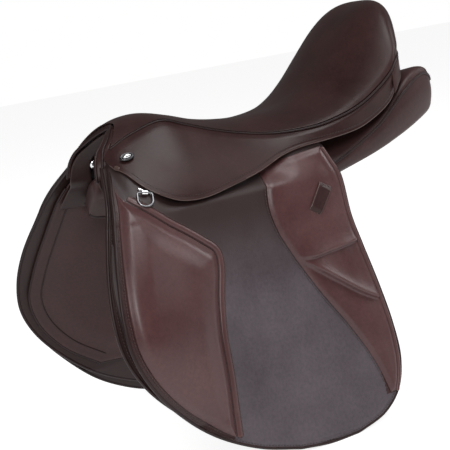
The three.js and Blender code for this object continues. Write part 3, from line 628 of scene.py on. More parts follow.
DARK = leather(
    "leather_seat", (0.021, 0.0078, 0.0072), (0.034, 0.0132, 0.0118), rough=0.42, grain=900.0, grain_depth=0.16,
    specular=0.24, sheen=0.015, sheen_tint=(0.6, 0.62, 0.6), worn=(0.09, 0.05, 0.045), wear=0.3,
)
RED = leather(
    "leather_pads", (0.05, 0.0165, 0.017), (0.073, 0.0275, 0.0275), rough=0.38, grain=700.0, grain_depth=0.2,
    specular=0.42, coat=0.08, coat_rough=0.35, sheen=0.02, worn=(0.14, 0.075, 0.07), wear=0.3,
)
# The flap leather carries painted shade: its colour darkens towards the top of the flap, where the skirt shades it.
MATTE = leather(
    "leather_flap", (0.05, 0.038, 0.045), (0.076, 0.06, 0.07), rough=0.5, grain=520.0, grain_depth=0.34,
    specular=0.4, sheen=0.06, sheen_tint=(0.75, 0.7, 0.78), worn=(0.13, 0.11, 0.115), wear=0.2,
    painted_shade_top=(-0.125, -0.01, (0.019, 0.0075, 0.007)),
)
INNER = leather(
    "leather_inner", (0.017, 0.007, 0.0065), (0.028, 0.0125, 0.0115), rough=0.5, grain=600.0, grain_depth=0.25,
    specular=0.35, worn=(0.07, 0.045, 0.04), wear=0.2,
)
PANEL = leather(
    "leather_panel", (0.026, 0.0095, 0.0095), (0.043, 0.0175, 0.0165), rough=0.46, grain=650.0, grain_depth=0.22,
    specular=0.3, sheen=0.02, worn=(0.1, 0.055, 0.05), wear=0.25,
)
FRONT = leather(
    "leather_flap_front", (0.026, 0.0092, 0.0092), (0.041, 0.0155, 0.015), rough=0.42, grain=700.0, grain_depth=0.2,
    specular=0.35, worn=(0.1, 0.055, 0.05), wear=0.25,
)
BINDING = leather(
    "leather_binding", (0.014, 0.0062, 0.0062), (0.024, 0.0105, 0.0105), rough=0.42, grain=900.0, grain_depth=0.12,
    specular=0.25, wear=0.0,
)
EDGE = leather(
    "leather_edge", (0.055, 0.03, 0.026), (0.085, 0.05, 0.043), rough=0.4, grain=1200.0, grain_depth=0.1, wear=0.0,
)
THREAD = thread("thread_brown", (0.075, 0.045, 0.036))
THREAD_DARK = thread("thread_dark", (0.03, 0.02, 0.018))
CHROME = metal("metal_chrome", (0.78, 0.79, 0.8), 0.12)
STEEL = metal("metal_steel", (0.4, 0.41, 0.43), 0.3, 0.15)
NICKEL = metal("metal_nickel", (0.2, 0.2, 0.21), 0.14)
BLACK_METAL = metal("metal_dark", (0.07, 0.068, 0.072), 0.2, 0.1)
CANVAS = woven("web_canvas", (0.3, 0.26, 0.18), (0.56, 0.5, 0.38))
FOAM = plain("seat_foam_cells", (0.5, 0.45, 0.3), (0.66, 0.6, 0.44), 0.9, 700.0, 0.6)
POLYMER = plain("tree_moulding", (0.012, 0.012, 0.014), (0.022, 0.022, 0.025), 0.5, 400.0, 0.2)


def place(build, name, materials, body, nodes, slot, side=None, pad=None, bend=None):
    """Makes the object, hangs it on its body unless bend is given (then only its transform is baked), and hides the CAD
    nodes it stands for; slot is not used.
    """
    mirror = dict(SIDES)[side] if side else 1.0
    prefix = side + "_" if side else ""
    made = build.object(prefix + name, materials, mirror)
    if bend:
        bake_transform(made)
    else:
        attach(made, body if body == "saddle" else prefix + body)
    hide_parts(*[prefix + n for n in nodes])
    return made


# ---- seat ----
def seat_layer(build, u_span, v_span, top, bottom, thickness, mat, step=4.0, puff=0.0):
    """Closed layer of the seat between two depths: each is (depth, inset, edge)."""
    nu = ticks(240, step)
    nv = ticks(560, step)
    u = u_span[0] + (u_span[1] - u_span[0]) * nu
    v = v_span[0] + (v_span[1] - v_span[0]) * nv
    u, v = np.meshgrid(u, v, indexing="ij")
    du = np.minimum(u - u_span[0], u_span[1] - u) * 110
    dv = np.minimum(v - v_span[0], v_span[1] - v) * 520
    d = np.minimum(np.maximum(du, 0), np.maximum(dv, 0))
    high = half_round(d, max(thickness / 2, 1.0))
    a = np.array(top)[:, None, None]
    b = np.array(bottom)[:, None, None]
    mid = (a + b) / 2
    out = mid + (a - b) / 2 * high
    low = mid - (a - b) / 2 * high
    outer, inner = seat_point(u, v, *out), seat_point(u, v, *low)
    if puff:
        side = np.abs(u) ** 6 * ease(0, 6, d) * ease(0.44, 0.62, v)
        outer[..., 0] += np.sign(u) * puff * side
        outer[..., 2] += 0.6 * puff * side
    skin(build, outer, inner, mat)


seat = Build()
seat_layer(seat, (-1, 1), (0, 1), (0.0, 0.0, 0.0), (2.4, 2.4, 0.0), 2.4, 0, step=3.5, puff=3.0)
v_line = np.linspace(0, 1, 220)
edge_line = seat_point(np.ones(220), v_line)
edge_back = seat_point(np.linspace(1, 0, 80), np.ones(80))
seam = np.vstack([edge_line, edge_back[1:]])
seam_full = np.vstack([seam, (seam * [-1, 1, 1])[::-1][1:]])
place(seat, "seat_top", [DARK, THREAD], "saddle", ["seat_cover"], "leather_dark", pad=0.9)

welt = Build()
tube(welt, even(seam_full - [0, 0, 2.1], 420), 1.5, 10, False, 0, np.array([0, 0, 1.0]))
place(welt, "seat_piping", [BINDING], "saddle", ["seat_welt"], "leather_dark")

foam = Build()
seat_layer(foam, (-1, 1), (2 / 24, 1), (4.4, 7.0, 5.0), (21.8, 20, 9.0), 8.0, 0, step=5)
place(foam, "seat_padding", [FOAM], "saddle", ["seat_foam"], "foam", pad=1.0)
webbing = Build()
seat_layer(webbing, (-0.4, 0.4), (3 / 24, 19 / 24), (22.2, 20, 0.0), (24.6, 20, 0.0), 2.4, 0, step=8)
place(webbing, "seat_web", [CANVAS], "saddle", ["seat_webbing"], "canvas")

# Band round the back of the cantle.
band = Build()
tail = even(seam[np.where(v_line > 0.742)[0][0] :], 120)
row = np.vstack([tail, (tail * [-1, 1, 1])[::-1][1:]])
tangent = np.gradient(row, axis=0)
outward = np.stack([-tangent[:, 1], tangent[:, 0], 0 * tangent[:, 0]], 1)
outward /= np.linalg.norm(outward, axis=1, keepdims=True)
outward *= np.sign((outward[:, :1] * row[:, :1] + outward[:, 1:2] * (row[:, 1:2] - 120)))
fall = ticks(32, 3.0)
d_band = np.minimum(fall, 1 - fall)[None] * 32
d_band = np.minimum(d_band, (np.minimum(np.arange(len(row)), np.arange(len(row))[::-1]) * 3.0)[:, None])
high = half_round(d_band, 1.5) * 1.5
lean = 1.0 - 3.5 * ease(0.25, 0, fall)[None]
base = row[:, None] - [0, 0, 1] * (1.6 + 32 * fall[None, :, None])
skin(
    band,
    base + outward[:, None] * (lean - 1.5 + high)[..., None],
    base + outward[:, None] * (lean - 1.5 - high)[..., None],
    0,
)
for depth in (28.5, 6.5):
    line = row - [0, 0, depth] + outward * 0.9
    stitches(band, line[4:-4], outward[4:-4], 1)
place(band, "cantle_skirt", [DARK, THREAD], "saddle", ["cantle_band"], "leather_dark")

# ---- pommel ----
LIP = [
    [0, -184, 114], [15, -197, 108], [28, -211, 98], [38, -224, 87], [46, -231, 74], [51, -234, 60], [52, -235, 54],
]
BROW = [
    [0, -180, 116], [19, -187, 111], [36, -197, 102], [46, -208, 92], [53, -214, 78], [55, -217, 64], [56, -218, 56],
]


def arch(points, lower, back, crest_back=None, count=120):
    p = np.array(points, float)
    crest_back = back if crest_back is None else crest_back
    rise = (p[:, 2] - p[-1, 2]) / (p[0, 2] - p[-1, 2])
    p[:, 1] += back + (crest_back - back) * rise
    p[:, 2] -= lower
    whole = np.vstack([(p * [-1, 1, 1])[::-1], p[1:]])
    return smooth(whole, count)


def arch_band(build, a, b, thickness, mat, bulge=0.0, step=3.0):
    across = ticks(float(np.linalg.norm(a - b, axis=1).mean()), step)
    n = len(a)
    p = a[:, None] * (1 - across[None, :, None]) + b[:, None] * across[None, :, None]
    inward = np.stack([-p[..., 0], 0 * p[..., 0], 20 - p[..., 2]], -1)
    inward /= np.linalg.norm(inward, axis=-1, keepdims=True)
    gap = np.linalg.norm(p[:, -1:] - p[:, :1], axis=-1)
    d = np.minimum(across, 1 - across)[None] * gap
    ends = np.minimum(np.arange(n), np.arange(n)[::-1])[:, None] * 2.5
    d = np.minimum(d, ends)
    high = half_round(d, thickness / 2) * thickness / 2
    puff = bulge * np.sin(np.pi * across)[None] * ease(0, 8, ends)
    outer = p + inward * (thickness / 2 - high - puff)[..., None]
    inner = p + inward * (thickness / 2 + high)[..., None]
    skin(build, outer, inner, mat)


facing = Build()
top_row, lip_row = arch(BROW, 1.2, -1.0), arch(LIP, 0, 0)
arch_band(facing, top_row, lip_row, 3.0, 0, bulge=1.2)
for share, rise in ((1.0, -1.2), (0.45, 0.8)):
    row_now = top_row * (1 - share) + lip_row * share + [0, -0.4, rise]
    tube(facing, row_now, 2.0, 10, mat=1, normal=np.array([0, 1.0, 0.2]))
place(facing, "pommel_front", [DARK, BINDING], "saddle", ["pommel_facing"], "leather_dark")

lining = Build()
SKIN = LIP + [[58, -234, 46], [72, -234, 38], [88, -236, 26], [104, -240, 12]]
arch_band(lining, arch(SKIN, 5, 1.5, 1.5, 200), arch(SKIN, 9, 44, 16, 200), 2.5, 0, bulge=0.0, step=3.0)
place(lining, "gullet_inside", [INNER], "saddle", ["gullet_lining"], "leather_inner")

# ---- side outlines, (y, z) in mm ----
FLAP_FRONT = smooth([
    (-221, 76), (-228, 62), (-243, 36), (-256.5, 5), (-275, -44), (-287, -95), (-286, -140), (-268, -184), (-238, -224),
    (-196, -264), (-141, -295), (-85, -313),
], 240)
FLAP_REAR = smooth([
    (58, 56), (63, 45), (70, 25), (79, 5), (79, -53), (84, -90), (93, -149), (98, -200), (96, -247), (80, -284),
    (50, -307), (5, -319),
], 240)
SWEAT_FRONT = smooth([
    (-222, 76), (-228, 66), (-238, 48), (-250, 24), (-262, 0), (-283, -50), (-293, -95), (-292, -135), (-276, -174),
    (-246, -212), (-205, -247), (-150, -276), (-90, -294),
], 240)
SWEAT_REAR = smooth([
    (40, 40), (52, 24), (60, 0), (62, -50), (66, -95), (72, -150), (76, -200), (74, -235), (60, -264),
    (36, -284), (0, -296),
], 240)
KNEE_FRONT = smooth([
    (-233, 44), (-249, 5), (-266, -44), (-277, -92), (-277, -134), (-262, -174), (-233, -215), (-205, -243),
    (-184, -262),
], 220)
KNEE_REAR = smooth([
    (-231, 33), (-204, 9), (-187, -7), (-168, -22), (-148, -39), (-135, -52), (-134, -66), (-147, -109),
    (-156, -149), (-161, -201), (-166, -240), (-170, -272),
], 220)
PAD_FRONT = smooth([
    (-29, 34), (-37, 8), (-41, -19), (-37, -48), (-27, -76), (0, -133), (30, -186), (50, -228), (60, -258),
    (66, -284),
], 220)
PAD_REAR = smooth([
    (60, 44), (68, 22), (74, 5), (74, -53), (79, -92), (87, -149), (92, -200), (90, -244), (83, -270),
    (76, -284),
], 220)
RIDGES = [
    smooth([(-22, -84), (0, -87), (31, -85), (74, -82)], 60),
    smooth([(-20, -86), (6, -105), (34, -127), (60, -147), (82, -160)], 60),
]


def signed(y, z, line):
    """Distance to a line, positive above it."""
    d = distance(y, z, line)
    k = np.clip(np.searchsorted(line[:, 0], np.ravel(y)), 1, len(line) - 1).reshape(np.shape(y))
    a, b = line[k - 1], line[k]
    t = (y - a[..., 0]) / (b[..., 0] - a[..., 0] + 1e-9)
    return np.where(z > a[..., 1] + t * (b[..., 1] - a[..., 1]), d, -d)


def recess(y, z):
    return -14 * ease(7, 29, z) * ease(-196, -160, y) * ease(20, -20, y)


def from_flap(by):
    """Offset that follows the flap's outer face."""
    return lambda y, z: recess(y, z) + by


def wander(y, z, scale, seed):
    """Gentle, repeatable unevenness, -1 to 1."""
    return (
        np.sin(y / scale + seed) * np.cos(z / (scale * 1.3) + 1.7 * seed)
        + 0.5 * np.sin((y + z) / (scale * 0.6) + 2.3 * seed)
    ) / 1.5


bend_start, bend_end = (128, -80, 13), (128, -80, -3)
fold_a, fold_b = np.array([-214.0, 64.0]), np.array([20.0, 50.0])
SKIRT_ROWS = [
    (-222, 68), (-214, 63), (-202, 46), (-188, 33), (-162, 19), (-129, 15), (-90, 20), (-37, 30), (0, 41),
    (31, 47), (71, 50), (113, 55), (135, 62), (165, 78), (183, 96), (190, 112),
]
skirt_edge = through(SKIRT_ROWS)


def flap_zone(y, z):
    """Grippy leather in the middle, smooth leather in front of the knee roll and behind the thigh pad."""
    order = np.argsort(KNEE_REAR[:, 1])
    before = y < np.interp(z, KNEE_REAR[order, 1], KNEE_REAR[order, 0])
    behind = (y > 60) & (z > -286)
    return np.where(before | behind, 4, 0)


def build_flap(side):
    flap = Build()
    side_sheet(
        flap, FLAP_FRONT, FLAP_REAR, recess, 3.5,
        relief=lambda y, z, d: 0.25 * wander(y, z, 24, 1) * ease(2, 20, d) + groove(d, 6.5, 0.9, 0.5),
        mat=flap_zone, rim_mat=1, rim=1.2, inner_mat=2,
    )
    foot = smooth([FLAP_FRONT[-1], (-40, -319), FLAP_REAR[-1]], 30)[1:-1]
    border = np.vstack([FLAP_FRONT[6:], foot, FLAP_REAR[::-1][:-6]])
    side_tube(flap, inset_line(border, 1.4), from_flap(-1.75), 2.4, mat=1, sides=12, count=420)
    stitched = inset_line(border, 4.6, 420)
    keep = stitched[:, 1] < 4
    side_stitches(flap, stitched[keep], 0.05, 3, pitch=4.2)
    place(
        flap, "flap_leather", [MATTE, BINDING, INNER, THREAD_DARK, FRONT], None, ["flap", "flap_top"], "leather_matte",
        side, bend=("flap_body", bend_start, bend_end),
    )


def knee_relief(y, z, d):
    dome = 7.5 * ease(0, 11, d) ** 0.75 + 3.5 * ease(6, 34, d)
    return dome + 0.35 * wander(y, z, 30, 2) * ease(4, 20, d)


def build_knee(side):
    pad = Build()
    side_sheet(
        pad, KNEE_FRONT, KNEE_REAR, from_flap(1.6), 1.8, relief=knee_relief, mat=0, step=STEP,
    )
    strip = inset_line(KNEE_REAR[4:], 5.6)
    side_tube(pad, strip, from_flap(0.4), 4.1, mat=0, sides=14, flat=0.55, count=200)
    for by in (1.0, 10.6):
        side_stitches(pad, inset_line(KNEE_REAR[6:], by), from_flap(0.5), 1, pitch=4.0)
    front = inset_line(KNEE_FRONT[14:], -2.2)[:-2]
    side_stitches(pad, front, from_flap(0.3), 1, pitch=4.0)
    place(
        pad, "knee_roll", [RED, THREAD], None, ["knee_pad"], "leather_red", side, pad=0.8,
        bend=("flap_body", bend_start, bend_end),
    )


def rear_relief(y, z, d):
    puff = 3.6 * ease(0, 8, d) ** 0.8 + 2.0 * ease(5, 30, d)
    for line, depth in zip(RIDGES, (5.0, 6.0)):
        s = signed(y, z, line)
        grow = ease(-22, 14, y)
        lift = depth * np.exp(-np.maximum(s, 0) / 11) * (s >= 0)
        drop = (depth - (depth + 2.6) * ease(0, 4.5, -s)) * (s < 0) * np.exp(-np.maximum(-s - 4.5, 0) / 18)
        puff = puff + (lift + drop) * grow * ease(1, 7, d)
    return puff + 0.3 * wander(y, z, 22, 3) * ease(3, 12, d)


def build_rear_pad(side):
    pad = Build()
    side_sheet(pad, PAD_FRONT, PAD_REAR, from_flap(1.2), 1.2, relief=rear_relief, mat=0, step=STEP * 0.8)
    side_tube(pad, PAD_REAR[2:], from_flap(1.6), 2.6, mat=0, sides=12, flat=0.8, count=160)
    side_stitches(pad, inset_line(PAD_REAR[2:-4], 3.6), from_flap(0.4), 1, pitch=4.0)
    side_stitches(pad, inset_line(PAD_FRONT[2:-4], -2.4), from_flap(0.4), 1, pitch=4.0)
    place(
        pad, "thigh_pad", [RED, THREAD], None, ["rear_pad", "rear_pad_top"], "leather_red", side, pad=0.8,
        bend=("flap_body", bend_start, bend_end),
    )


def build_keeper(side):
    keeper = Build()
    front = even([(39, 1), (10, -34)], 60)
    rear = even([(56, -9), (27, -41)], 60)
    axis = np.array([-31.0, -38.0]) / np.hypot(31, 38)

    def stand(y, z):
        along = (y - 50) * axis[0] + (z + 2) * axis[1]
        return 6.6 + 3.2 * ease(0, 10, along) * ease(47, 37, along)

    side_sheet(
        keeper, front, rear, stand, 3.0,
        relief=lambda y, z, d: groove(d, 2.6, 0.6, 0.35), mat=0, rim_mat=1, rim=0.8, step=2.0,
    )
    for a, b in (((40, -3), (53, -9)), ((14, -33), (25, -38))):
        side_stitches(keeper, even([a, b], 20), lambda y, z: stand(y, z) + 0.1, 2, pitch=3.6, long=2.6)
    place(keeper, "leather_keeper", [DARK, EDGE, THREAD], "flap_body", ["keeper"], "leather_red", side)


def build_skirt(side):
    skirt = Build()
    y = -221.5 + ticks(410, STEP) * 410
    t = ticks(62, 2.2)
    top = welt_line(y)[:, 1] - 0.6
    low = skirt_edge(y)[:, 0]
    low = np.where(y < -219.5, np.minimum(low + 4 * ease(-219.5, -221.5, y), top - 2), low)
    z = top[:, None] * (1 - t[None]) + low[:, None] * t[None]
    yy = np.broadcast_to(y[:, None], z.shape)
    border = np.vstack([np.stack([y, top], 1), np.stack([y, low], 1)[::-1], [[y[0], top[0]]]])
    d = border_distance(yy, z, border)
    hi = half_round(d, 1.5) * 1.5
    tuck = -4.4 * ease(9, 0, np.broadcast_to(top[:, None], z.shape) - z)
    low_edge = distance(yy, z, np.stack([y, low], 1))
    relief = groove(low_edge, 4.0, 0.8, 0.45) + 0.25 * wander(yy, z, 28, 4) * ease(2, 9, d)
    middle = 6 - 1.5 + tuck
    outer = on_side(yy, z, middle + hi + relief * ease(0, 2, d))
    inner = on_side(yy, z, middle - hi)
    mats = np.where(cell_mean(low_edge) < 1.3, 1, 0)
    skin(skirt, outer, inner, mats)
    edge = np.stack([y, low], 1)
    line = inset_line(edge[8:-8], 6.2)
    side_stitches(skirt, line, 6.05, 2, pitch=4.0)
    out = np.array([fold_b[1] - fold_a[1], fold_a[0] - fold_b[0]])
    out = out / np.linalg.norm(out)
    out = out if out[1] < 0 else -out
    mid = (fold_a + fold_b) / 2
    x = float(side_x(mid[0], mid[1])) + 4.5
    start, end = mid - out * 6, mid + out * 6
    place(
        skirt, "skirt_leather", [DARK, EDGE, THREAD_DARK], None, ["skirt_band", "skirt"], "leather_dark", side,
        bend=("skirt_body", (x, start[0], start[1]), (x, end[0], end[1])),
    )
    tip = Build()
    dot = np.array([[math.cos(a), math.sin(a)] for a in np.linspace(0, 2 * np.pi, 20, endpoint=False)])
    rings = []
    for r, h in ((2.4, 0.0), (2.3, 0.5), (1.6, 0.9), (0.7, 1.1), (0.05, 1.12)):
        yz = np.array([-216.5, 69.5]) + dot * r
        rings.append(on_side(yz[:, 0], yz[:, 1], 6.0 + h))
    rings = np.array(rings)
    tip.add(rings.reshape(-1, 3), quads(5, 20, wrap_v=True), 0)
    tip.add(np.vstack([rings[0], on_side(-216.5, 69.5, 5.9)[None]]), [[20, (k + 1) % 20, k] for k in range(20)], 0)
    place(tip, "skirt_dot", [EDGE], "saddle", [], "leather_dark", side)


# Outer faces of the layers under the flap, in mm from the flap's own outer face.
FLAP_THICK, GUARD_THICK, STRAP_THICK, SWEAT_THICK = 3.5, 2.5, 4.0, 3.0
GUARD = -FLAP_THICK - 1.6
BILLET = GUARD - GUARD_THICK - 0.8
SWEAT = BILLET - STRAP_THICK - 0.8
PANEL_OUT = SWEAT - SWEAT_THICK - 1.6


def build_sweat(side):
    sweat = Build()
    side_sheet(
        sweat, SWEAT_FRONT, SWEAT_REAR, lambda y, z: SWEAT + 0.7 * recess(y, z), 3.0,
        relief=lambda y, z, d: 0.3 * wander(y, z, 26, 5) * ease(2, 20, d) + groove(d, 6.0, 0.9, 0.4),
        mat=0, rim_mat=1, rim=1.0, step=STEP * 1.4,
    )
    foot = smooth([SWEAT_FRONT[-1], (-45, -298), SWEAT_REAR[-1]], 30)[1:-1]
    border = np.vstack([SWEAT_FRONT[4:], foot, SWEAT_REAR[::-1][:-4]])
    side_tube(sweat, border, lambda y, z: SWEAT - 1.5 + 0.7 * recess(y, z), 2.3, mat=1, sides=10, count=360)
    side_stitches(sweat, inset_line(border, 5, 360), lambda y, z: SWEAT + 0.7 * recess(y, z) + 0.05, 2, pitch=4.2)
    place(sweat, "under_flap", [INNER, BINDING, THREAD], "saddle", ["sweat_flap"], "leather_inner", side)


def build_blocks(side):
    inner = SWEAT + 0.4
    outer = -3.5 - 2.4
    for name, front, rear, node in (
        ("knee_bolster", [(-264, -12), (-281, -56), (-286, -100), (-284, -135), (-268, -172)],
         [(-226, -12), (-240, -56), (-246, -100), (-246, -135), (-240, -165)], "knee_block"),
        ("thigh_bolster", [(30, -40), (34, -80), (40, -120), (44, -150)],
         [(54, -30), (58, -75), (64, -120), (66, -156)], "thigh_block"),
    ):
        block = Build()
        a, b = smooth(front, 120), smooth(rear, 120)
        side_sheet(
            block, a, b, inner + 1.6, 1.6,
            relief=lambda y, z, d: (outer - inner - 1.9) * ease(0, 12, d) ** 0.7, mat=0, step=STEP * 1.5,
        )
        side_tube(block, np.vstack([a, b[::-1], a[:1]])[:-1], inner + 0.8, 1.1, mat=1, sides=8, count=160, closed=True)
        place(block, name, [INNER, BINDING], "saddle", [node], "panel_leather", side, pad=0.95)


def straight(y0, y1, z0, z1):
    return even([(y0, z0), (y0, z1)], 60), even([(y1, z0), (y1, z1)], 60)


def build_straps(side):
    guard = Build()
    a, b = straight(-118, 18, -22, -151.25)
    side_sheet(
        guard, a, b, GUARD, 2.5,
        relief=lambda y, z, d: groove(d, 3.4, 0.7, 0.3), mat=0, rim_mat=1, step=STEP * 1.4,
    )
    side_stitches(guard, even([(-112, -28), (-112, -145), (12, -145), (12, -28)], 200), GUARD + 0.05, 2)
    place(guard, "girth_buckle_guard", [INNER, EDGE, THREAD], "saddle", ["buckle_guard"], "leather_inner", side)
    web = Build()
    off = lambda y, z: BILLET - 0.6 + 0.65 * recess(y, z)
    a, b = straight(-106, 6, 47, 2)
    side_sheet(web, a, b, off, 1.8, mat=0, step=STEP * 1.4)
    for z in (42, 26, 10):
        side_stitches(web, even([(-102, z), (2, z)], 60), lambda y, z: off(y, z) + 0.05, 1, pitch=4.5)
    place(web, "girth_webbing", [CANVAS, THREAD], "saddle", ["girth_web"], "canvas", side)
    for n, name in enumerate(("front", "middle", "rear")):
        strap = Build()
        mid = -50 + (n - 1) * 42
        a, b = straight(mid - 14, mid + 14, -2, -237)
        holes = [-110 - 14 * k for k in range(9)]

        def relief(y, z, d, mid=mid):
            dip = groove(d, 2.6, 0.6, 0.3)
            for h in holes:
                r = np.hypot(y - mid, z - h)
                dip = dip - 2.6 * ease(2.6, 1.9, r)
            return dip

        side_sheet(strap, a, b, BILLET, 4.0, relief=relief, mat=0, rim_mat=1, step=1.6)
        for dy in (-10.8, 10.8):
            side_stitches(strap, even([(mid + dy, -6), (mid + dy, -95)], 60), BILLET + 0.05, 2, pitch=3.8)
        place(
            strap, "girth_strap_" + name, [INNER, EDGE, THREAD], f"billet_{name}_body", ["billet_" + name],
            "leather_inner", side,
        )


# ---- panels ----
panel_row = through([
    (-218, 42, 66, 22, 22, -4), (-203, 50, 82, 12, 20, -14), (-160, 56, 94, 6, 22, -22),
    (-90, 52, 99, 2, 14, -26), (-31, 46, 100, 0, 10, -28), (30, 48, 100, 4, 12, -20),
    (90, 60, 106, 22, 22, -2), (150, 84, 115, 56, 32, 16), (200, 106, 114, 92, 44, 34),
    (240, 116, 106, 111, 56, 50), (272, 102, 92, 98, 68, 62),
])


def build_panel(side):
    panel = Build()
    s = ticks(490, STEP * 1.5, (0.0, 0.6, 1.8, 3.6, 6.0, 9.0, 13.0, 18.0))
    y = -218 + 490 * s
    row = panel_row(np.maximum(y, -206))
    y = np.maximum(y, -208 + 0.2 * (y + 208))
    top, x, z, low, edge = [row[:, k] for k in range(5)]
    ch = 32.0
    lerp = lambda a, b, t: a + (b - a) * t
    ring = []
    swell = 7.0 * ease(150, 215, y) * ease(272, 255, y)
    for t in (0.06, 0.3, 0.55, 0.8, 0.97):
        lift = swell * ease(0.3, 0.8, t) - (1.6 if t in (0.06, 0.97) else 0)
        ring.append((lerp(ch, x, t), lerp(top, z, t**1.6) + lift))
    tall = z - edge
    for t, out in ((0.25, 2.2), (0.5, 3.2), (0.75, 1.6)):
        ring.append((lerp(x, x - 5, t) + out * np.clip(tall / 24, 0, 1), lerp(z, edge, t)))
    for t in (0.95, 0.72, 0.45, 0.2, 0.05):
        ring.append((lerp(ch + 3, x - 5, t), lerp(low, edge, t**1.3) + (1.4 if t in (0.95, 0.05) else 0)))
    ring.append((ch + 0 * x, lerp(low, top, 0.33)))
    ring.append((ch + 0 * x, lerp(low, top, 0.66)))
    ring = np.array([[np.broadcast_to(a, y.shape), b] for a, b in ring])
    dense = []
    k = len(ring)
    for i in range(k):
        a, b, c, e = ring[i - 1], ring[i], ring[(i + 1) % k], ring[(i + 2) % k]
        for t in np.linspace(0, 1, 5, endpoint=False):
            dense.append(hermite(t, b, c, (c - a) / 2, (e - b) / 2))
    dense = np.array(dense)
    end = np.minimum(s, 1 - s) * 490
    grow = 0.06 + 0.94 * half_round(end, 20.0)
    middle = dense.mean(0)
    dense = middle + (dense - middle) * grow
    points = np.stack([dense[:, 0], np.broadcast_to(y, dense[:, 0].shape), dense[:, 1]], -1).transpose(1, 0, 2)
    n, m = points.shape[:2]
    faces = quads(n, m, wrap_v=True)
    panel.add(points.reshape(-1, 3), faces, 0)
    for i, flip in ((0, False), (n - 1, True)):
        hub = points[i].mean(0)
        tri = [[m, (j + 1) % m, j] if not flip else [m, j, (j + 1) % m] for j in range(m)]
        panel.add(np.vstack([points[i], hub]), tri, 0)
    pick = np.argmin(np.abs(s - 0.02)), np.argmin(np.abs(s - 0.985))
    seam_at = 4 * 5 + 2
    line = points[pick[0] : pick[1], seam_at] + [0.4, 0, 0]
    tube(panel, even(line, 260), 1.7, 10, mat=1)
    low_at = 8 * 5 + 2
    line = points[pick[0] : pick[1], low_at] + [0.3, 0, -0.3]
    tube(panel, even(line, 260), 1.5, 10, mat=1)
    place(panel, "panel_cushion", [PANEL, BINDING], "saddle", ["panel"], "panel_leather", side, pad=0.85)


def build_lower_panel(side):
    lower = Build()
    a = smooth([
        (-224, 44), (-238, 14), (-254, -30), (-271, -80), (-280, -120), (-270, -162), (-240, -203), (-196, -235),
    ], 160)
    b = smooth([(44, -6), (48, -34), (50, -80), (54, -120), (56, -162), (42, -205), (0, -245)], 160)
    step = STEP * 1.6
    width = np.linalg.norm(a - b, axis=1).mean()
    s, t = ticks(width, step), ticks((length(a) + length(b)) / 2, step)
    k = np.clip((t * 159).astype(int), 0, 158)
    w = (t * 159 - k)[:, None]
    f, r = a[k] * (1 - w) + a[k + 1] * w, b[k] * (1 - w) + b[k + 1] * w
    yz = f[None] * (1 - s[:, None, None]) + r[None] * s[:, None, None]
    y, z = yz[..., 0], yz[..., 1]
    d = border_distance(y, z, np.vstack([a, b[::-1], a[:1]]))
    high = half_round(d, 1.5) * 1.5
    middle = PANEL_OUT - 1.5
    swell = 3.5 * half_round(d, 6) + 10 * ease(2, 45, d) + 0.5 * wander(y, z, 30, 6) * ease(5, 25, d)
    skin(lower, on_side(y, z, middle + high), on_side(y, z, middle - high - swell), 0)
    ring = np.vstack([a[4:], b[::-1]])
    side_tube(lower, ring, PANEL_OUT - 2.4, 1.9, mat=1, sides=10, count=300)
    seam = inset_line(a[6:], 15)
    swell_at = lambda y, z: PANEL_OUT - 3 - 3.5 - 10 * ease(2, 45, distance(y, z, np.vstack([a, b[::-1], a[:1]])))
    side_tube(lower, seam, swell_at, 1.2, mat=1, sides=8, count=160)
    place(lower, "panel_lower_cushion", [PANEL, BINDING], "saddle", ["lower_panel"], "panel_leather", side, pad=0.85)


# ---- hardware ----
def side_basis(y, z, offset, turn=0.0):
    out = side_normal(np.array(y), np.array(z))
    rear = np.array([0, 1.0, 0]) - out * out[1]
    rear /= np.linalg.norm(rear)
    up = np.cross(out, rear)
    c, s = math.cos(turn), math.sin(turn)
    rear, up = c * rear + s * up, -s * rear + c * up
    return on_side(y, z, 0.0) + out * offset, np.stack([out, rear, up])


def lathe(build, origin, axes, profile, sides=48, mat=0, squash_z=1.0):
    """Turned piece about the first axis; profile is (radius, height) from the rim's foot to the top."""
    angle = np.arange(sides) * 2 * np.pi / sides
    rings = []
    for r, h in profile:
        local = np.stack([np.full(sides, h), r * np.cos(angle), squash_z * r * np.sin(angle)], 1)
        rings.append(origin + local @ axes)
    rings = np.array(rings)
    faces = quads(len(profile), sides, wrap_v=True)
    build.add(rings.reshape(-1, 3), faces, mat)


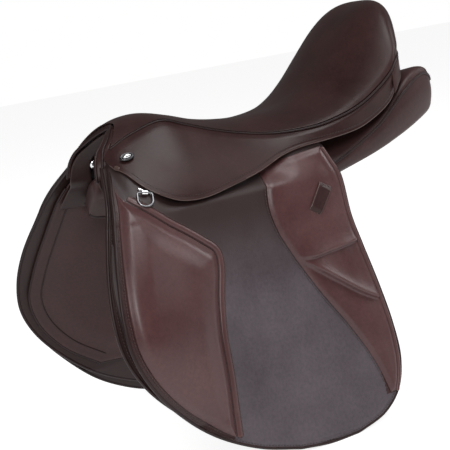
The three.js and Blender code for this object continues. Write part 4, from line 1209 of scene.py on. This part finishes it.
def build_hardware(side):
    nail = Build()
    origin, axes = side_basis(-200.0, 75.0, 6.9)
    collar = [(0.01, 0.0), (9.4, 0.0), (9.6, 0.5), (9.3, 1.3), (8.6, 2.0), (7.6, 2.2), (6.4, 1.8), (5.6, 1.4)]
    dome = [(5.6, 1.4), (5.7, 2.2), (5.2, 3.2), (4.2, 4.0), (2.8, 4.5), (1.2, 4.7), (0.01, 4.75)]
    lathe(nail, origin, axes, collar, mat=1, squash_z=0.66)
    lathe(nail, origin, axes, dome, mat=0, squash_z=0.62)
    place(nail, "skirt_nail", [CHROME, BLACK_METAL], "saddle", ["saddle_nail"], "chrome", side)

    stud = Build()
    facing_axis = np.array([-0.94, 0, -0.35])
    facing_axis /= np.linalg.norm(facing_axis)
    other = np.array([0, 1.0, 0])
    third = np.cross(facing_axis, other)
    seat_at = np.array([39.5, -200, 66])
    lathe(
        stud, seat_at, np.stack([facing_axis, other, third]),
        [(0.01, 0.0), (5.9, 0.0), (6.0, 0.4), (5.7, 1.0), (4.8, 1.7), (3.2, 2.3), (1.4, 2.55), (0.01, 2.6)],
    )
    place(stud, "gullet_button", [CHROME], "saddle", ["gullet_stud"], "chrome", side)

    origin, axes = side_basis(-201.5, 34.5, 0.4, -0.3)
    sleeve_radius = 3.3
    holder = Build()
    x = np.linspace(-3.5, 3.5, 9)
    line = origin + np.stack([np.full(9, sleeve_radius), x, np.zeros(9)], 1) @ axes
    for radius, wall in ((sleeve_radius, 1), (1.95, -1)):
        angle = np.arange(24) * 2 * np.pi / 24
        rings = np.array([
            line[i] + radius * (np.cos(angle)[:, None] * axes[0] + np.sin(angle)[:, None] * axes[2]) for i in range(9)
        ])
        faces = quads(9, 24, wrap_v=True)
        holder.add(rings.reshape(-1, 3), faces[:, ::-1] if wall > 0 else faces, 0)
    for i in (0, 8):
        big, small = [
            np.array([line[i] + r * (math.cos(a) * axes[0] + math.sin(a) * axes[2]) for a in angle])
            for r in (sleeve_radius, 1.95)
        ]
        ring = quads(2, 24, wrap_v=True)
        holder.add(np.vstack([big, small]), ring if i == 0 else ring[:, ::-1], 0)
    c, s = math.cos(-0.4), math.sin(-0.4)
    ends = np.linspace(-9, 9, 30)
    strip = origin + np.stack([np.full(30, 0.9), ends * c + 1.5, ends * s + 3.8], 1) @ axes
    tube(holder, strip, 1.9, 12, mat=0, normal=axes[0], flat=0.55)
    place(holder, "ring_holder", [CHROME], "saddle", ["ring_staple"], "chrome", side)

    half, tall = 9.5, 20.0
    path = [(-half + 3, 0.0), (half - 3, 0.0)]
    path += [(half - 3 + 3 * math.sin(a), -3 + 3 * math.cos(a)) for a in np.linspace(0.2, 1.57, 6)]
    path += [(half * math.cos(a), half - tall - half * math.sin(a)) for a in np.linspace(0, math.pi, 28)]
    path += [(-half + 3 - 3 * math.cos(a), -3 + 3 * math.sin(a)) for a in np.linspace(0, 1.37, 6)]
    path = even(np.vstack([path, path[:1]]), 91)[:-1]
    ring = Build()
    local = np.stack([np.full(90, sleeve_radius), path[:, 0], path[:, 1]], 1)
    tube(ring, origin + local @ axes, 1.25, 14, closed=True, normal=np.repeat(axes[:1], 90, 0))
    place(ring, "ring_wire", [NICKEL], "front_ring_body", ["front_ring"], "chrome", side)


for side_name, _ in SIDES:
    build_flap(side_name)
    build_knee(side_name)
    build_rear_pad(side_name)
    build_keeper(side_name)
    build_skirt(side_name)
    build_sweat(side_name)
    build_blocks(side_name)
    build_straps(side_name)
    build_panel(side_name)
    build_lower_panel(side_name)
    build_hardware(side_name)

# ---- CAD pieces that stay as they are, with better finishes ----
KEPT = {"head_plate": STEEL, "tree": POLYMER}
for side_name, _ in SIDES:
    for node in ("stirrup_bar", "catch_pin", "bar_catch"):
        KEPT[f"{side_name}_{node}"] = STEEL
for name, material in KEPT.items():
    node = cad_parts[name]
    node.data.materials.clear()
    node.data.materials.append(material)
    bevel = node.modifiers.new("edges", "BEVEL")
    bevel.width = 0.0006
    bevel.segments = 2
    bevel.limit_method = "ANGLE"

# ---- floor, light and camera ----
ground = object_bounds()[0][2]
floor_mesh = bpy.data.meshes.new("floor")
floor_mesh.from_pydata(
    [(-9, -9, ground), (9, -9, ground), (9, 9, ground), (-9, 9, ground)], [], [(0, 1, 2, 3)]
)
floor = bpy.data.objects.new("floor", floor_mesh)
bpy.context.scene.collection.objects.link(floor)
floor_material, floor_tree, floor_shader, _ = new_material("floor_white")
floor_shader.inputs["Base Color"].default_value = (0.45, 0.45, 0.45, 1)
floor_shader.inputs["Roughness"].default_value = 0.9
floor_shader.inputs["Emission Color"].default_value = (1, 1, 1, 1)
floor_shader.inputs["Emission Strength"].default_value = 0.86
floor_mesh.materials.append(floor_material)

world = bpy.data.worlds.new("studio")
bpy.context.scene.world = world
world.use_nodes = True
sky = world.node_tree
lit = sky.nodes["Background"]
lit.inputs[0].default_value = (1, 1, 1, 1)
lit.inputs[1].default_value = 0.15
seen = sky.nodes.new("ShaderNodeBackground")
seen.inputs[0].default_value = (1, 1, 1, 1)
seen.inputs[1].default_value = 1.0
path = sky.nodes.new("ShaderNodeLightPath")
join = sky.nodes.new("ShaderNodeMixShader")
sky.links.new(path.outputs["Is Camera Ray"], join.inputs[0])
sky.links.new(lit.outputs[0], join.inputs[1])
sky.links.new(seen.outputs[0], join.inputs[2])
sky.links.new(join.outputs[0], sky.nodes["World Output"].inputs[0])


def softbox(name, at, aim, size, power):
    light = bpy.data.lights.new(name, "AREA")
    light.shape = "RECTANGLE"
    light.size, light.size_y = size
    light.energy = power
    made = bpy.data.objects.new(name, light)
    made.location = at
    made.rotation_euler = (Vector(at) - Vector(aim)).to_track_quat("Z", "Y").to_euler()
    bpy.context.scene.collection.objects.link(made)


softbox("key", (2.7, -1.9, 2.0), (0.05, -0.05, 0.0), (1.4, 1.4), 66)
softbox("top", (1.0, 0.3, 2.6), (0.0, 0.0, 0.0), (1.6, 1.6), 50)
softbox("rear", (0.9, 2.6, 1.4), (0.05, 0.1, 0.05), (1.2, 1.0), 25)

azimuth, elevation, roll = math.radians(63.8), math.radians(9.8), math.radians(-9.35)
flat = math.cos(elevation)
ahead = Vector((math.sin(azimuth) * flat, -math.cos(azimuth) * flat, math.sin(elevation)))
level = Vector((math.cos(azimuth), math.sin(azimuth), 0))
upright = ahead.cross(level)
right = math.cos(roll) * level + math.sin(roll) * upright
above = -math.sin(roll) * level + math.cos(roll) * upright
where = Vector((-0.1245, 0.019, -0.0735)) + 1.9 * ahead
camera_data = bpy.data.cameras.new("camera")
camera_data.lens = 102.52
camera_data.sensor_width = 36.0
camera_data.clip_end = 60.0
camera = bpy.data.objects.new("camera", camera_data)
camera.matrix_world = Matrix((
    (right.x, above.x, ahead.x, where.x),
    (right.y, above.y, ahead.y, where.y),
    (right.z, above.z, ahead.z, where.z),
    (0, 0, 0, 1),
))
bpy.context.scene.collection.objects.link(camera)
bpy.context.scene.camera = camera
bpy.context.scene.view_settings.view_transform = "Standard"
